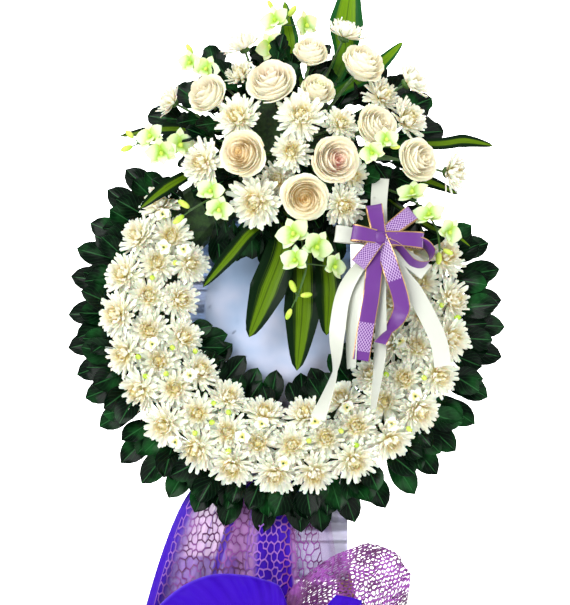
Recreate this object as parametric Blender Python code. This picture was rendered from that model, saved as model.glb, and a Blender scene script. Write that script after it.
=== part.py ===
"""Funeral flower stand: a wreath of white chrysanthemums under a spray of roses, on a draped stand.

Metres, +Z up, front towards -Y. The origin is on the floor, under the middle of the whole stand.
The wreath and all it carries are modelled flat in the wreath's own plane, where x runs right, z runs up the
wreath and -y comes out of it, and are parented to one leaning empty. A point there is written (x, up, out).
"""

import math
import random

import bmesh
import bpy
from mathutils import Matrix, Vector

TAU = math.tau

# Driving dimensions
CLEAR = 0.0003
SHARP = math.radians(40)
LEAN = math.radians(10)
RING_HEIGHT = 1.010
FRONT_FEET_Y = -0.280
REAR_FOOT_Y = 0.300
FEET_X = 0.220
BATTEN = 0.024
LEG_TOP = 0.900
UPRIGHT = (-0.540, 0.300)
UPRIGHT_DEPTH = 0.0216
BAR_UP = -0.520
BAR_HALF = (0.150, 0.006, 0.015)

RING_INNER = 0.165
RING_OUTER = 0.245
TRAY_BACK = 0.0016
TRAY_THICK = 0.0042
FOAM_DEPTH = 0.034
FOAM_EDGE = 0.009
PAD_DEPTH = 0.020
PAD_EDGE = 0.008

SECTORS = 6
RING_START = math.radians(133)
RING_SWEEP = math.radians(252)
SECTOR = RING_SWEEP / SECTORS

STEM_RADIUS = 0.0026
STEM_HOLE = 0.0042
STEM_SEAT = 0.0006
STEM_DEPTH = 0.24
TWIG_RADIUS = 0.0022
OUTER_TWIG = (RING_OUTER + 0.0036, 0.015)
INNER_TWIG = (RING_INNER - 0.0041, 0.020)
CLOTH = 0.0008
RIBBON_WIDTH = 0.025
RIBBON_THICK = 0.0007

# Heights out of the wreath's plane, worked out from the sizes above
FOAM_BACK = TRAY_BACK + TRAY_THICK + CLEAR
FOAM_FRONT = FOAM_BACK + FOAM_DEPTH
PAD_BACK = FOAM_FRONT + CLEAR
PAD_FRONT = PAD_BACK + PAD_DEPTH

# The spray's foam dome: its centre and its half sizes across, up and out
HEART = Vector((0.010, -PAD_BACK, 0.240))
DOME = Vector((0.106, 0.045, 0.097))

# How far blooms turn from the dome's centre towards the front: inside the spray, and on its rim
TOWARDS_FRONT = 0.9
RIM_FRONT = 0.25
RIM_REACH = 0.183

# Rows of heads on the ring: distance from its centre, out, tilt outwards, head radius, heads in a sector, and
# how far the row is turned on, as a share of its pitch
HEAD_ROWS = (
    (0.251, PAD_FRONT - 0.008, math.radians(38), 0.0330, 3, 0.0),
    (0.205, PAD_FRONT - 0.001, math.radians(2), 0.0300, 3, 0.5),
    (0.160, PAD_FRONT - 0.008, math.radians(-36), 0.0300, 2, 0.5),
)
ROW_BORDERS = (0.070, 0.183, 0.229, 0.320)
CELL_OUT = 0.020
CELL_DEPTH = 0.100

# Leaves on the ring: layers of leaves in a run, length, width, rise in degrees, and lift off the twig
OUTER_LEAVES = ((5, 0.080, 0.034, 2, -0.0005), (4, 0.060, 0.034, 15, 0.0011))
INNER_LEAVES = ((5, 0.064, 0.029, 7, 0.0),)

# Blooms of the top spray: (x, up, out) and radius
ROSES = {
    "rose_1": ((-0.022, 0.333, 0.118), 0.037),
    "rose_2": ((0.038, 0.390, 0.088), 0.027),
    "rose_3": ((-0.119, 0.321, 0.094), 0.031),
    "rose_4": ((0.118, 0.372, 0.086), 0.033),
    "rose_5": ((0.048, 0.324, 0.108), 0.026),
    "rose_6": ((0.136, 0.263, 0.120), 0.032),
    "rose_7": ((-0.064, 0.217, 0.136), 0.034),
    "rose_8": ((0.073, 0.205, 0.142), 0.036),
    "rose_9": ((0.027, 0.152, 0.128), 0.034),
    "rose_10": ((0.198, 0.216, 0.102), 0.032),
}
SPRAY_MUMS = {
    "spray_mums_top": (((-0.066, 0.405, 0.070), 0.030), ((-0.070, 0.355, 0.080), 0.025)),
    "spray_mums_peak": (((0.091, 0.425, 0.066), 0.032),),
    "spray_mums_corner": (((0.190, 0.350, 0.066), 0.033), ((0.148, 0.326, 0.066), 0.031)),
    "spray_mums_right": (((0.249, 0.205, 0.072), 0.032), ((0.182, 0.285, 0.080), 0.032)),
    "spray_mums_middle": (((0.022, 0.275, 0.134), 0.036), ((0.082, 0.268, 0.116), 0.026),
                          ((0.008, 0.222, 0.128), 0.028)),
    "spray_mums_left": (((-0.072, 0.280, 0.112), 0.035), ((-0.126, 0.212, 0.100), 0.034),
                        ((-0.175, 0.318, 0.066), 0.026)),
    "spray_mums_low": (((-0.046, 0.152, 0.100), 0.039), ((0.086, 0.145, 0.104), 0.031),
                       ((-0.013, 0.186, 0.100), 0.026), ((0.100, 0.190, 0.104), 0.026)),
}

# Orchid sprays: the stem's points from the dome outwards, florets (place, radius) and buds (place, length)
ORCHIDS = {
    "orchid_left": {
        "stem": ((-0.150, 0.262, 0.080), (-0.195, 0.244, 0.088), (-0.225, 0.246, 0.086)),
        "florets": (((-0.160, 0.240, 0.098), 0.021), ((-0.186, 0.228, 0.100), 0.020),
                    ((-0.202, 0.252, 0.100), 0.019)),
        "buds": (((-0.240, 0.240, 0.080), 0.018), ((-0.236, 0.262, 0.080), 0.016)),
    },
    "orchid_top": {
        "stem": ((0.000, 0.380, 0.052), (-0.010, 0.415, 0.052), (-0.004, 0.450, 0.052)),
        "florets": (((-0.022, 0.405, 0.066), 0.020), ((-0.016, 0.448, 0.062), 0.020),
                    ((0.030, 0.440, 0.062), 0.019)),
        "buds": (((0.010, 0.466, 0.056), 0.018), ((-0.024, 0.476, 0.056), 0.015)),
    },
    "orchid_upper_left": {
        "stem": ((-0.095, 0.345, 0.060), (-0.125, 0.372, 0.062), (-0.140, 0.388, 0.062)),
        "florets": (((-0.122, 0.366, 0.074), 0.018), ((-0.146, 0.378, 0.070), 0.016)),
        "buds": (((-0.148, 0.402, 0.064), 0.016),),
    },
    "orchid_right": {
        "stem": ((0.118, 0.228, 0.112), (0.136, 0.228, 0.136)),
        "florets": (((0.126, 0.214, 0.150), 0.016), ((0.146, 0.232, 0.154), 0.016)),
        "buds": (((0.160, 0.224, 0.146), 0.014),),
    },
    "orchid_hanging": {
        "stem": ((0.020, 0.124, 0.086), (0.024, 0.090, 0.098), (0.030, 0.055, 0.094), (0.014, 0.005, 0.086)),
        "florets": (((0.012, 0.100, 0.112), 0.022), ((0.044, 0.082, 0.110), 0.021),
                    ((0.014, 0.062, 0.108), 0.019),
                    ((0.070, 0.054, 0.100), 0.018)),
        "buds": (((0.010, 0.026, 0.094), 0.018), ((0.030, 0.014, 0.088), 0.016),
                 ((0.004, -0.014, 0.084), 0.016)),
    },
    "orchid_bow": {
        "stem": ((0.176, 0.165, 0.086), (0.205, 0.140, 0.096), (0.224, 0.110, 0.096), (0.228, 0.080, 0.090)),
        "florets": (((0.188, 0.164, 0.104), 0.020), ((0.212, 0.130, 0.108), 0.020),
                    ((0.240, 0.106, 0.102), 0.019)),
        "buds": (((0.226, 0.068, 0.094), 0.018), ((0.240, 0.078, 0.094), 0.015)),
    },
    "orchid_low_left": {
        "stem": ((-0.085, 0.178, 0.072), (-0.112, 0.160, 0.090), (-0.145, 0.140, 0.092)),
        "florets": (((-0.112, 0.166, 0.108), 0.018), ((-0.100, 0.140, 0.104), 0.018)),
        "buds": (((-0.152, 0.150, 0.096), 0.018), ((-0.160, 0.128, 0.090), 0.018)),
    },
}

# Groups of long leaves: the direction of their stalk in degrees, then the points to each tip, and the width
LONG_LEAVES = {
    "dracaena_top": (
        58.5,
        (((0.092, 0.405, 0.032), (0.096, 0.450, 0.030), (0.104, 0.500, 0.036)), 0.036),
        (((0.135, 0.378, 0.034), (0.182, 0.420, 0.034)), 0.024),
    ),
    "dracaena_left": (
        183,
        (((-0.130, 0.272, 0.054), (-0.184, 0.278, 0.056), (-0.254, 0.268, 0.050)), 0.018),
        (((-0.130, 0.215, 0.060), (-0.181, 0.178, 0.082), (-0.218, 0.146, 0.086)), 0.022),
    ),
    "dracaena_right": (
        -16,
        (((0.150, 0.250, 0.056), (0.233, 0.251, 0.066), (0.271, 0.255, 0.068), (0.314, 0.249, 0.064)), 0.020),
        (((0.150, 0.170, 0.060), (0.214, 0.120, 0.078), (0.246, 0.108, 0.088), (0.274, 0.088, 0.086)), 0.014),
        (((0.205, 0.200, 0.050), (0.262, 0.178, 0.046)), 0.036),
    ),
    "dracaena_low": (
        -103,
        (((-0.030, 0.130, 0.060), (-0.054, 0.112, 0.074), (-0.083, 0.076, 0.080), (-0.123, 0.027, 0.085)),
          0.022),
        (((-0.010, 0.120, 0.060), (-0.006, 0.086, 0.072), (-0.028, 0.024, 0.072), (-0.055, -0.044, 0.060)),
          0.040),
        (((0.022, 0.120, 0.058), (0.024, 0.070, 0.068), (0.021, -0.007, 0.070), (0.016, -0.094, 0.056)),
          0.042),
        (((0.050, 0.120, 0.058), (0.062, 0.055, 0.070), (0.064, 0.009, 0.072), (0.060, -0.041, 0.060)),
          0.028),
    ),
    "filler_left": (
        160,
        (((-0.140, 0.330, 0.046), (-0.170, 0.352, 0.042)), 0.040),
        (((-0.180, 0.300, 0.042), (-0.215, 0.306, 0.038)), 0.040),
        (((-0.104, 0.375, 0.046), (-0.120, 0.420, 0.042)), 0.036),
        (((-0.150, 0.270, 0.040), (-0.196, 0.262, 0.034)), 0.036),
    ),
    "filler_right": (
        15,
        (((0.190, 0.320, 0.042), (0.228, 0.335, 0.038)), 0.040),
        (((0.205, 0.270, 0.040), (0.245, 0.282, 0.036)), 0.040),
        (((0.160, 0.335, 0.040), (0.190, 0.372, 0.034)), 0.036),
    ),
}

# Bow: loops as (direction, length), then tails and other free lengths as their points
BOW = (0.138, 0.095, 0.113)
BOW_START = 0.006
PURPLE_LOOPS = ((100, 0.050), (38, 0.062), (-4, 0.064), (170, 0.042), (232, 0.052))
PURPLE_TAILS = (
    ((0.138, 0.095, 0.110), (0.129, 0.046, 0.118), (0.125, 0.010, 0.112), (0.118, -0.030, 0.108),
     (0.109, -0.085, 0.104)),
    ((0.138, 0.095, 0.112), (0.154, 0.045, 0.124), (0.168, -0.001, 0.116), (0.164, -0.022, 0.110),
     (0.148, -0.045, 0.112), (0.136, -0.062, 0.118)),
)
WHITE_BACK = (0.138, 0.095, 0.1015)
WHITE_LOOPS = ((172, 0.066), (-36, 0.084))
WHITE_TAILS = (
    ((0.138, 0.095, 0.1015), (0.138, 0.150, 0.100), (0.141, 0.188, 0.102)),
    ((0.138, 0.095, 0.1015), (0.089, 0.025, 0.103), (0.075, -0.039, 0.098), (0.071, -0.100, 0.095),
     (0.046, -0.169, 0.094)),
    ((0.138, 0.095, 0.1020), (0.106, 0.026, 0.104), (0.097, -0.015, 0.099), (0.095, -0.096, 0.096)),
    ((0.138, 0.095, 0.1010), (0.139, 0.010, 0.100), (0.137, -0.074, 0.096), (0.126, -0.156, 0.094)),
    ((0.138, 0.095, 0.1010), (0.170, 0.041, 0.100), (0.191, 0.012, 0.100), (0.221, -0.049, 0.098),
     (0.229, -0.093, 0.096)),
)
PICK_FOOT = (0.136, 0.140, PAD_BACK + 0.001)

# Cloth: the skirt's top and hem, and the knot of the two bows tied over it
SKIRT_UP = (-0.250, -0.925)
SKIRT_FOLDS = 6
SKIRT_DEPTH = 0.030
SKIRT_BACK = 0.0018
NET_LIFT = 0.0020
SKIRT_FRONT = SKIRT_BACK + NET_LIFT + SKIRT_DEPTH + CLOTH
SASH_KNOT = (-0.012, -0.520)
SASH_HALF = 0.018
SASH_DEPTH = 0.024
SASH_SINK = 0.0062
SASH_INSET = 0.006
SASH_INSIDE = 0.004
NET_ROOT = (0.014, 0.018)
HOLE_REACH = 0.125

# Loops of cloth round the knot: from and to a direction in degrees, lengths between, and how far they puff
VIOLET_FAN = (88, 192, (0.118, 0.119, 0.124, 0.140, 0.160, 0.176, 0.190, 0.196, 0.172, 0.135), 0.020)
VIOLET_PEAK = (24, 50, (0.118, 0.150, 0.128), 0.008)
PEAK_OUT = 0.088
PEAK_ROOT = 0.020
NET_FAN = (14, 82, (0.165, 0.202, 0.232, 0.236, 0.217, 0.173, 0.132, 0.102), 0.015)

COLOURS = {
    "timber": ((0.30, 0.17, 0.08), 0.7),
    "moss": ((0.10, 0.20, 0.06), 0.9),
    "tray": ((0.05, 0.12, 0.05), 0.5),
    "mum": ((0.90, 0.88, 0.74), 0.7),
    "rose": ((0.92, 0.86, 0.72), 0.6),
    "orchid": ((0.86, 0.92, 0.74), 0.6),
    "leaf": ((0.01, 0.06, 0.01), 0.3),
    "striped": ((0.10, 0.26, 0.03), 0.35),
    "pale_cloth": ((0.52, 0.62, 0.85), 0.8),
    "violet": ((0.10, 0.02, 0.55), 0.6),
    "net": ((0.35, 0.10, 0.42), 0.7),
    "purple": ((0.22, 0.05, 0.36), 0.35),
    "white": ((0.85, 0.87, 0.82), 0.35),
}

rng = random.Random(31)


# Helpers

def local(point):
    """Turn (x, up, out) on the wreath into the leaning frame's own coordinates."""
    x, up, out = point
    return Vector((x, -out, up))


def polar(radius, angle, out):
    """A point on the wreath, by its distance and direction from the ring's centre."""
    return Vector((radius * math.cos(angle), -out, radius * math.sin(angle)))


def facing(point, direction, spin=0.0):
    """A frame at a point whose Z axis looks along a direction."""
    turn = direction.to_track_quat("Z", "Y").to_matrix().to_4x4()
    return Matrix.Translation(point) @ turn @ Matrix.Rotation(spin, 4, "Z")


def material(name):
    """The material of that name, made the first time it is asked for."""
    found = bpy.data.materials.get(name)
    if found:
        return found
    colour, roughness = COLOURS[name]
    made = bpy.data.materials.new(name)
    made.use_nodes = True
    shader = made.node_tree.nodes["Principled BSDF"]
    shader.inputs["Base Color"].default_value = (*colour, 1.0)
    shader.inputs["Roughness"].default_value = roughness
    return made


def finish(name, mesh, look, parent=None):
    """Make a mesh the object of that name, in the stand's collection."""
    mesh.name = name
    obj = bpy.data.objects.new(name, mesh)
    mesh.materials.clear()
    mesh.materials.append(material(look))
    mesh.shade_smooth()
    mesh.set_sharp_from_angle(angle=SHARP)
    bpy.data.collections["flower_stand"].objects.link(obj)
    obj.parent = parent
    return obj


def to_mesh(bm):
    """Close a bmesh into a mesh with its faces pointing out."""
    bmesh.ops.recalc_face_normals(bm, faces=bm.faces[:])
    mesh = bpy.data.meshes.new("shape")
    bm.to_mesh(mesh)
    bm.free()
    return mesh


def combine(operation, base, others, solver="EXACT"):
    """Join, cut or clip a closed mesh with others, by one Boolean on a collection."""
    scene = bpy.context.scene.collection
    tools = bpy.data.collections.new("tools")
    scene.children.link(tools)
    for mesh in others:
        tool = bpy.data.objects.new("tool", mesh)
        tool.hide_render = True
        tool.display_type = "WIRE"
        tools.objects.link(tool)
    body = bpy.data.objects.new("body", base)
    scene.objects.link(body)
    boolean = body.modifiers.new("Boolean", "BOOLEAN")
    boolean.operation = operation
    boolean.operand_type = "COLLECTION"
    boolean.collection = tools
    boolean.solver = solver
    graph = bpy.context.evaluated_depsgraph_get()
    result = bpy.data.meshes.new_from_object(body.evaluated_get(graph))
    for obj in [body, *tools.objects]:
        bpy.data.objects.remove(obj)
    bpy.data.collections.remove(tools)
    return result


def union(shapes, solver="EXACT"):
    """One body from several meshes that run into each other."""
    return combine("UNION", shapes[0], shapes[1:], solver)


def largest(mesh):
    """Drop the loose scraps that clipping leaves."""
    bm = bmesh.new()
    bm.from_mesh(mesh)
    bodies, left = [], set(bm.verts)
    while left:
        body, edge = set(), [left.pop()]
        while edge:
            vert = edge.pop()
            body.add(vert)
            near = {link.other_vert(vert) for link in vert.link_edges} & left
            left -= near
            edge.extend(near)
        bodies.append(body)
    keep = max(bodies, key=len)
    bmesh.ops.delete(bm, geom=[vert for vert in bm.verts if vert not in keep], context="VERTS")
    bm.to_mesh(mesh)
    bm.free()
    return mesh


def box(low, high):
    """A box between two corners."""
    bm = bmesh.new()
    low, high = Vector(low), Vector(high)
    size = Matrix.Diagonal((*(high - low), 1.0))
    bmesh.ops.create_cube(bm, size=1.0, matrix=Matrix.Translation((low + high) / 2) @ size)
    return to_mesh(bm)


def rod(points, radius, sides=6):
    """A round stem or wire along points, with closed ends."""
    curve = bpy.data.curves.new("rod", "CURVE")
    curve.dimensions = "3D"
    curve.bevel_depth = radius
    curve.bevel_resolution = sides // 2 - 2
    curve.use_fill_caps = True
    spline = curve.splines.new("POLY")
    spline.points.add(len(points) - 1)
    for place, point in zip(spline.points, points):
        place.co = (*point, 1.0)
    guide = bpy.data.objects.new("rod", curve)
    bpy.context.scene.collection.objects.link(guide)
    graph = bpy.context.evaluated_depsgraph_get()
    mesh = bpy.data.meshes.new_from_object(guide.evaluated_get(graph))
    bpy.data.objects.remove(guide)
    bm = bmesh.new()
    bm.from_mesh(mesh)
    bmesh.ops.remove_doubles(bm, verts=bm.verts[:], dist=1e-6)
    return to_mesh(bm)


def loft(sections):
    """A closed body through rings of as many points each; the last section may be a single tip."""
    bm = bmesh.new()
    rings = [[bm.verts.new(point) for point in section] for section in sections]
    for near, far in zip(rings, rings[1:]):
        for i in range(len(near)):
            after = (i + 1) % len(near)
            if len(far) == 1:
                bm.faces.new((near[i], near[after], far[0]))
            else:
                bm.faces.new((near[i], near[after], far[after], far[i]))
    bm.faces.new(rings[0])
    if len(rings[-1]) > 1:
        bm.faces.new(rings[-1])
    bmesh.ops.triangulate(bm, faces=bm.faces[:])
    return to_mesh(bm)


def blade(points, width, thick, look, shares=(0.10, 0.9, 1.0, 0.0)):
    """A leaf along points: flat sections with a raised midrib that faces a direction, and a pointed tip."""
    sections = []
    for i, point in enumerate(points[:-1]):
        along = (points[i + 1] - points[max(i - 1, 0)]).normalized()
        across = along.cross(look).normalized() * width * shares[i] / 2
        up = across.cross(along).normalized() * thick
        sections.append((point + across, point + up, point - across))
    return loft([*sections, (points[-1],)])


def strap(points, width, thick, across=None, pinch=1.0):
    """A flat strip along points, held across the way it runs, its ends pinched to a share of its width."""
    sections = []
    last = len(points) - 1
    for i, point in enumerate(points):
        along = (points[min(i + 1, last)] - points[max(i - 1, 0)]).normalized()
        side = across or along.cross(Vector((0, -1, 0))).normalized()
        up = side.cross(along).normalized() * thick / 2
        half = side * width / 2 * (pinch + (1 - pinch) * math.sin(math.pi * i / last))
        sections.append((point + half + up, point - half + up, point - half - up, point + half - up))
    return loft(sections)


def smooth_path(points, steps):
    """Points along a rounded line through a few given ones."""
    path = []
    for i in range(len(points) - 1):
        a = points[max(i - 1, 0)]
        b, c = points[i], points[i + 1]
        d = points[min(i + 2, len(points) - 1)]
        for k in range(steps):
            t = k / steps
            path.append(0.5 * (2 * b + (c - a) * t + (2 * a - 5 * b + 4 * c - d) * t ** 2
                               + (3 * b - a - 3 * c + d) * t ** 3))
    return [*path, points[-1]]


def sheet(columns, rows, place, thick=CLOTH):
    """A thin cloth over a grid, each point placed from its share across and down."""
    bm = bmesh.new()
    bmesh.ops.create_grid(bm, x_segments=columns, y_segments=rows, size=0.5)
    for vert in bm.verts:
        vert.co = place(vert.co.x + 0.5, 0.5 - vert.co.y)
    bmesh.ops.triangulate(bm, faces=bm.faces[:], quad_method="FIXED")
    if sum(face.normal.y * face.calc_area() for face in bm.faces) > 0:
        bmesh.ops.reverse_faces(bm, faces=bm.faces[:])
    bmesh.ops.solidify(bm, geom=bm.faces[:], thickness=-thick)
    return to_mesh(bm)


# Blooms

def whorl(count, tip, valley, tip_up, valley_up, turn=0.0):
    """A ring of petal tips and the valleys between them, as (share of the turn, point)."""
    ring = []
    for i in range(count):
        for half, reach, up in ((0.0, tip, tip_up), (0.5, valley, valley_up)):
            share = (i + half + turn) / count
            ring.append((share, Vector((reach * math.cos(TAU * share), reach * math.sin(TAU * share), up))))
    return ring


def circle(count, reach, up, turn=0.0):
    """A plain ring of points, as (share of the turn, point)."""
    return [(share, Vector((reach * math.cos(TAU * share), reach * math.sin(TAU * share), up)))
            for share in ((i + turn) / count for i in range(count))]


def bloom(rings, top, frame, radius):
    """A closed bloom through unlike rings, from under its base to its heart."""
    bm = bmesh.new()
    layers = [[(share, bm.verts.new(frame @ (point * radius))) for share, point in ring] for ring in rings]
    for low, high in zip(layers, layers[1:]):
        a = b = 0
        while a < len(low) or b < len(high):
            turn_a = low[(a + 1) % len(low)][0] + (a + 1) // len(low)
            turn_b = high[(b + 1) % len(high)][0] + (b + 1) // len(high)
            corner, across = low[a % len(low)][1], high[b % len(high)][1]
            if b == len(high) or (a < len(low) and turn_a <= turn_b):
                a += 1
                bm.faces.new((corner, low[a % len(low)][1], across))
            else:
                b += 1
                bm.faces.new((corner, high[b % len(high)][1], across))
    heart = bm.verts.new(frame @ Vector((0, 0, top * radius)))
    last = [vert for _, vert in layers[-1]]
    for vert, after in zip(last, [*last[1:], last[0]]):
        bm.faces.new((vert, after, heart))
    foot = bm.faces.new([vert for _, vert in layers[0]])
    bmesh.ops.triangulate(bm, faces=[foot])
    return to_mesh(bm)


def mum(frame, radius):
    """A chrysanthemum head: two whorls of pointed petals, the upper one standing up round the heart."""
    rings = (circle(3, 0.44, -0.40), whorl(7, 1.0, 0.68, 0.06, -0.06), whorl(4, 0.66, 0.44, 0.48, 0.26, 0.3))
    return bloom(rings, 0.28, frame, radius)


def stem_ring(frame, radius, place, along):
    """A ring round a stem, square to the way it runs and in step with its bloom's own rings."""
    axes = frame.to_3x3()
    turn = axes.col[2].rotation_difference(along)
    inner = frame.inverted()
    return [(share, inner @ (place + turn @ (axes @ point)) / radius)
            for share, point in circle(5, STEM_RADIUS, 0.0)]


def rose(frame, radius, end):
    """A rose: a cup on its stem, and three rings of petals with hollows between them, each turned on."""
    centre = frame.translation
    along = (centre - end).normalized()
    rings = (
        stem_ring(frame, radius, end, along),
        stem_ring(frame, radius, centre - along * radius * 1.15, along),
        circle(5, 0.34, -0.62),
        whorl(5, 0.80, 0.74, -0.22, -0.26),
        whorl(5, 1.0, 0.84, 0.10, -0.02),
        circle(5, 0.66, 0.10),
        whorl(5, 0.74, 0.60, 0.38, 0.28, 0.5),
        circle(5, 0.42, 0.26),
        whorl(4, 0.48, 0.38, 0.52, 0.44),
        circle(4, 0.20, 0.38),
    )
    return bloom(rings, 0.50, frame, radius)


def neck(frame, foot, radius):
    """A small ring round the point of a stem that a floret or bud grows from."""
    centre = frame.inverted() @ foot / radius
    return [(share, point + centre) for share, point in circle(3, STEM_RADIUS * 0.8 / radius, 0.0)]


def floret(frame, radius, foot):
    """An orchid floret: five broad petals round a raised lip, on a neck that runs back into the stem."""
    petals = []
    for i in range(5):
        for part, reach, up in ((0.0, 0.36, 0.02), (0.36, 1.0, 0.20), (0.64, 1.0, 0.20)):
            share = (i + part) / 5
            petals.append((share, Vector((reach * math.cos(TAU * share), reach * math.sin(TAU * share), up))))
    return bloom((neck(frame, foot, radius), petals), 0.26, frame, radius)


def bud(frame, length, foot):
    """A pointed bud, its foot in the stem."""
    return bloom((neck(frame, foot, length), circle(4, 0.28, 0.05)), 0.5, frame, length)


# The spray's stems

def dome_reach(direction):
    """How far the foam dome's surface lies from its centre, in a direction."""
    return 1.0 / math.sqrt(sum((direction[i] / DOME[i]) ** 2 for i in range(3)))


holes = []


def root(direction):
    """Drill a plain hole into the dome and return where a stem in it ends and where it comes out."""
    direction = direction.normalized()
    direction.y = min(direction.y, -0.24)
    direction.normalize()
    reach = dome_reach(direction)
    bottom = HEART + direction * reach * (1 - STEM_DEPTH)
    holes.append((bottom, HEART + direction * (reach + 0.02)))
    return bottom + direction * STEM_SEAT, HEART + direction * (reach + 0.012)


def bloom_frame(point, front=TOWARDS_FRONT):
    """A bloom's frame: it looks away from the dome's centre and is turned towards the front."""
    look = (point - HEART).normalized() + Vector((0, -front, 0))
    return facing(point, look.normalized(), rng.uniform(0, TAU))


def make_roses(wreath):
    for name, (place, radius) in ROSES.items():
        point = local(place)
        end, _ = root(point - HEART)
        finish(name, rose(bloom_frame(point), radius, end), "rose", wreath)


def make_spray_mums(wreath):
    """Bunches of heads whose stems meet in one stalk."""
    for name, heads in SPRAY_MUMS.items():
        points = [local(place) for place, _ in heads]
        middle = sum(points, Vector()) / len(points)
        end, mouth = root(middle - HEART)
        shapes = [rod((end, mouth), STEM_RADIUS)]
        for point, (_, radius) in zip(points, heads):
            inside = (point - HEART).length < RIM_REACH
            frame = bloom_frame(point, TOWARDS_FRONT if inside else RIM_FRONT)
            shapes.append(mum(frame, radius))
            under = frame @ Vector((0, 0, -radius * 0.3))
            shapes.append(rod((end.lerp(mouth, 0.93), under), STEM_RADIUS * 0.8, 4))
        finish(name, union(shapes), "mum", wreath)


def make_orchids(wreath):
    """Sprays of florets and buds along an arched stem."""
    for name, spray in ORCHIDS.items():
        stem = [local(point) for point in spray["stem"]]
        end, mouth = root(stem[0] - HEART)
        path = [end, mouth, *stem]
        feet = [point.lerp(before, 0.15) for before, point in zip(path[1:], path[2:])]
        shapes = [rod(path, STEM_RADIUS, 4)]
        for place, radius in spray["florets"]:
            point = local(place)
            foot = min(feet, key=lambda other: (other - point).length)
            ahead = (point - foot).normalized()
            look = (ahead + Vector((0, -0.8, 0))).normalized()
            shapes.append(floret(facing(point, look, 0.3), radius, foot))
        for place, length in spray["buds"]:
            point = local(place)
            foot = min(feet, key=lambda other: (other - point).length)
            shapes.append(bud(facing(point, (point - foot).normalized()), length, foot))
        finish(name, union(shapes), "orchid", wreath)


def make_long_leaves(wreath):
    """Groups of leaves that start from one stalk in the dome."""
    for name, (direction, *leaves) in LONG_LEAVES.items():
        end, mouth = root(polar(1.0, math.radians(direction), 0.0))
        shapes = [rod((end, mouth), STEM_RADIUS)]
        for points, width in leaves:
            path = [end.lerp(mouth, 0.93), *[local(point) for point in points]]
            shares = (0.12, 0.45, 1.0, 0.85, 0.6)[:len(path) - 1]
            shapes.append(blade(path, width, 0.0018, Vector((0, -1, 0)), shares))
        finish(name, union(shapes), "leaf" if name.startswith("filler") else "striped", wreath)


def make_dome(wreath):
    """The foam dome, flat against the ring's foam, with a plain hole for every stem."""
    bm = bmesh.new()
    shape = Matrix.Translation(HEART) @ Matrix.Diagonal((*DOME, 1.0)) @ Matrix.Rotation(TAU / 4, 4, "X")
    bmesh.ops.create_uvsphere(bm, u_segments=12, v_segments=6, radius=1.0, matrix=shape)
    cut = bmesh.ops.bisect_plane(bm, geom=bm.verts[:] + bm.edges[:] + bm.faces[:], plane_co=HEART,
                                 plane_no=(0, 1, 0), clear_outer=True)
    rim = [part for part in cut["geom_cut"] if isinstance(part, bmesh.types.BMEdge)]
    bmesh.ops.contextual_create(bm, geom=rim)
    drills = [rod(hole, STEM_HOLE, 4) for hole in holes]
    finish("spray_foam", combine("DIFFERENCE", to_mesh(bm), drills), "moss", wreath)


# The ring

def turned(profile, steps=22):
    """A ring round the wreath's axis, from a closed outline of (distance, out) points."""
    bm = bmesh.new()
    outline = [bm.verts.new((radius, -out, 0)) for radius, out in profile]
    edges = [bm.edges.new(pair) for pair in zip(outline, [*outline[1:], outline[0]])]
    bmesh.ops.spin(bm, geom=outline + edges, cent=(0, 0, 0), axis=(0, 1, 0), angle=TAU, steps=steps,
                   use_merge=True)
    bmesh.ops.remove_doubles(bm, verts=bm.verts[:], dist=1e-6)
    return to_mesh(bm)


def make_base(wreath):
    tray = ((RING_INNER, TRAY_BACK), (RING_OUTER, TRAY_BACK), (RING_OUTER, TRAY_BACK + TRAY_THICK),
            (RING_INNER, TRAY_BACK + TRAY_THICK))
    foam = ((RING_INNER, FOAM_BACK), (RING_OUTER, FOAM_BACK), (RING_OUTER, FOAM_FRONT - FOAM_EDGE),
            (RING_OUTER - FOAM_EDGE, FOAM_FRONT), (RING_INNER + FOAM_EDGE, FOAM_FRONT),
            (RING_INNER, FOAM_FRONT - FOAM_EDGE))
    finish("ring_tray", turned(tray), "tray", wreath)
    finish("ring_foam", turned(foam), "moss", wreath)


def row_start(sector, row):
    """Where a row of a sector begins: rows are turned on, so that heads sit in each other's gaps."""
    _, _, _, _, count, shift = HEAD_ROWS[row]
    return RING_START + SECTOR * (sector + shift / count)


def sector_cell(sector):
    """The room of a sector's heads: stepped walls that run between the heads of each row."""
    rows = (2, 1, 0)
    start, finish_side = [], []
    for band, row in enumerate(rows):
        near, far = ROW_BORDERS[band], ROW_BORDERS[band + 1]
        for radius, inward in ((near, band > 0), (far, band < len(rows) - 1)):
            gap = CLEAR / 2 / radius
            shift = CLEAR / 2 if inward else 0.0
            start.append((radius + shift, row_start(sector, row) + gap))
            finish_side.append((radius - shift, row_start(sector + 1, row) - gap))
    outer = ROW_BORDERS[-1]
    arc = [(outer, row_start(sector, 0) + SECTOR * share) for share in (0.25, 0.5, 0.75)]
    bm = bmesh.new()
    corners = [*start, *arc, *reversed(finish_side)]
    outline = [bm.verts.new(polar(radius, angle, CELL_OUT)) for radius, angle in corners]
    base = bm.faces.new(outline)
    raised = bmesh.ops.extrude_face_region(bm, geom=[base])["geom"]
    lifted = [part for part in raised if isinstance(part, bmesh.types.BMVert)]
    bmesh.ops.translate(bm, vec=(0, -CELL_DEPTH, 0), verts=lifted)
    return to_mesh(bm)


def sector_pad(sector):
    """The stems and greens under a sector's heads, as one low arc on the foam."""
    inner, outer = RING_INNER + PAD_EDGE, RING_OUTER - PAD_EDGE
    low, high = row_start(sector, 0) - 0.02, row_start(sector, 0) + SECTOR + 0.14
    sections = []
    for i in range(4):
        angle = low + (high - low) * i / 3
        sections.append((polar(inner, angle, PAD_BACK), polar(outer, angle, PAD_BACK),
                         polar(outer, angle, PAD_FRONT), polar(inner, angle, PAD_FRONT)))
    return loft(sections)


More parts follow.
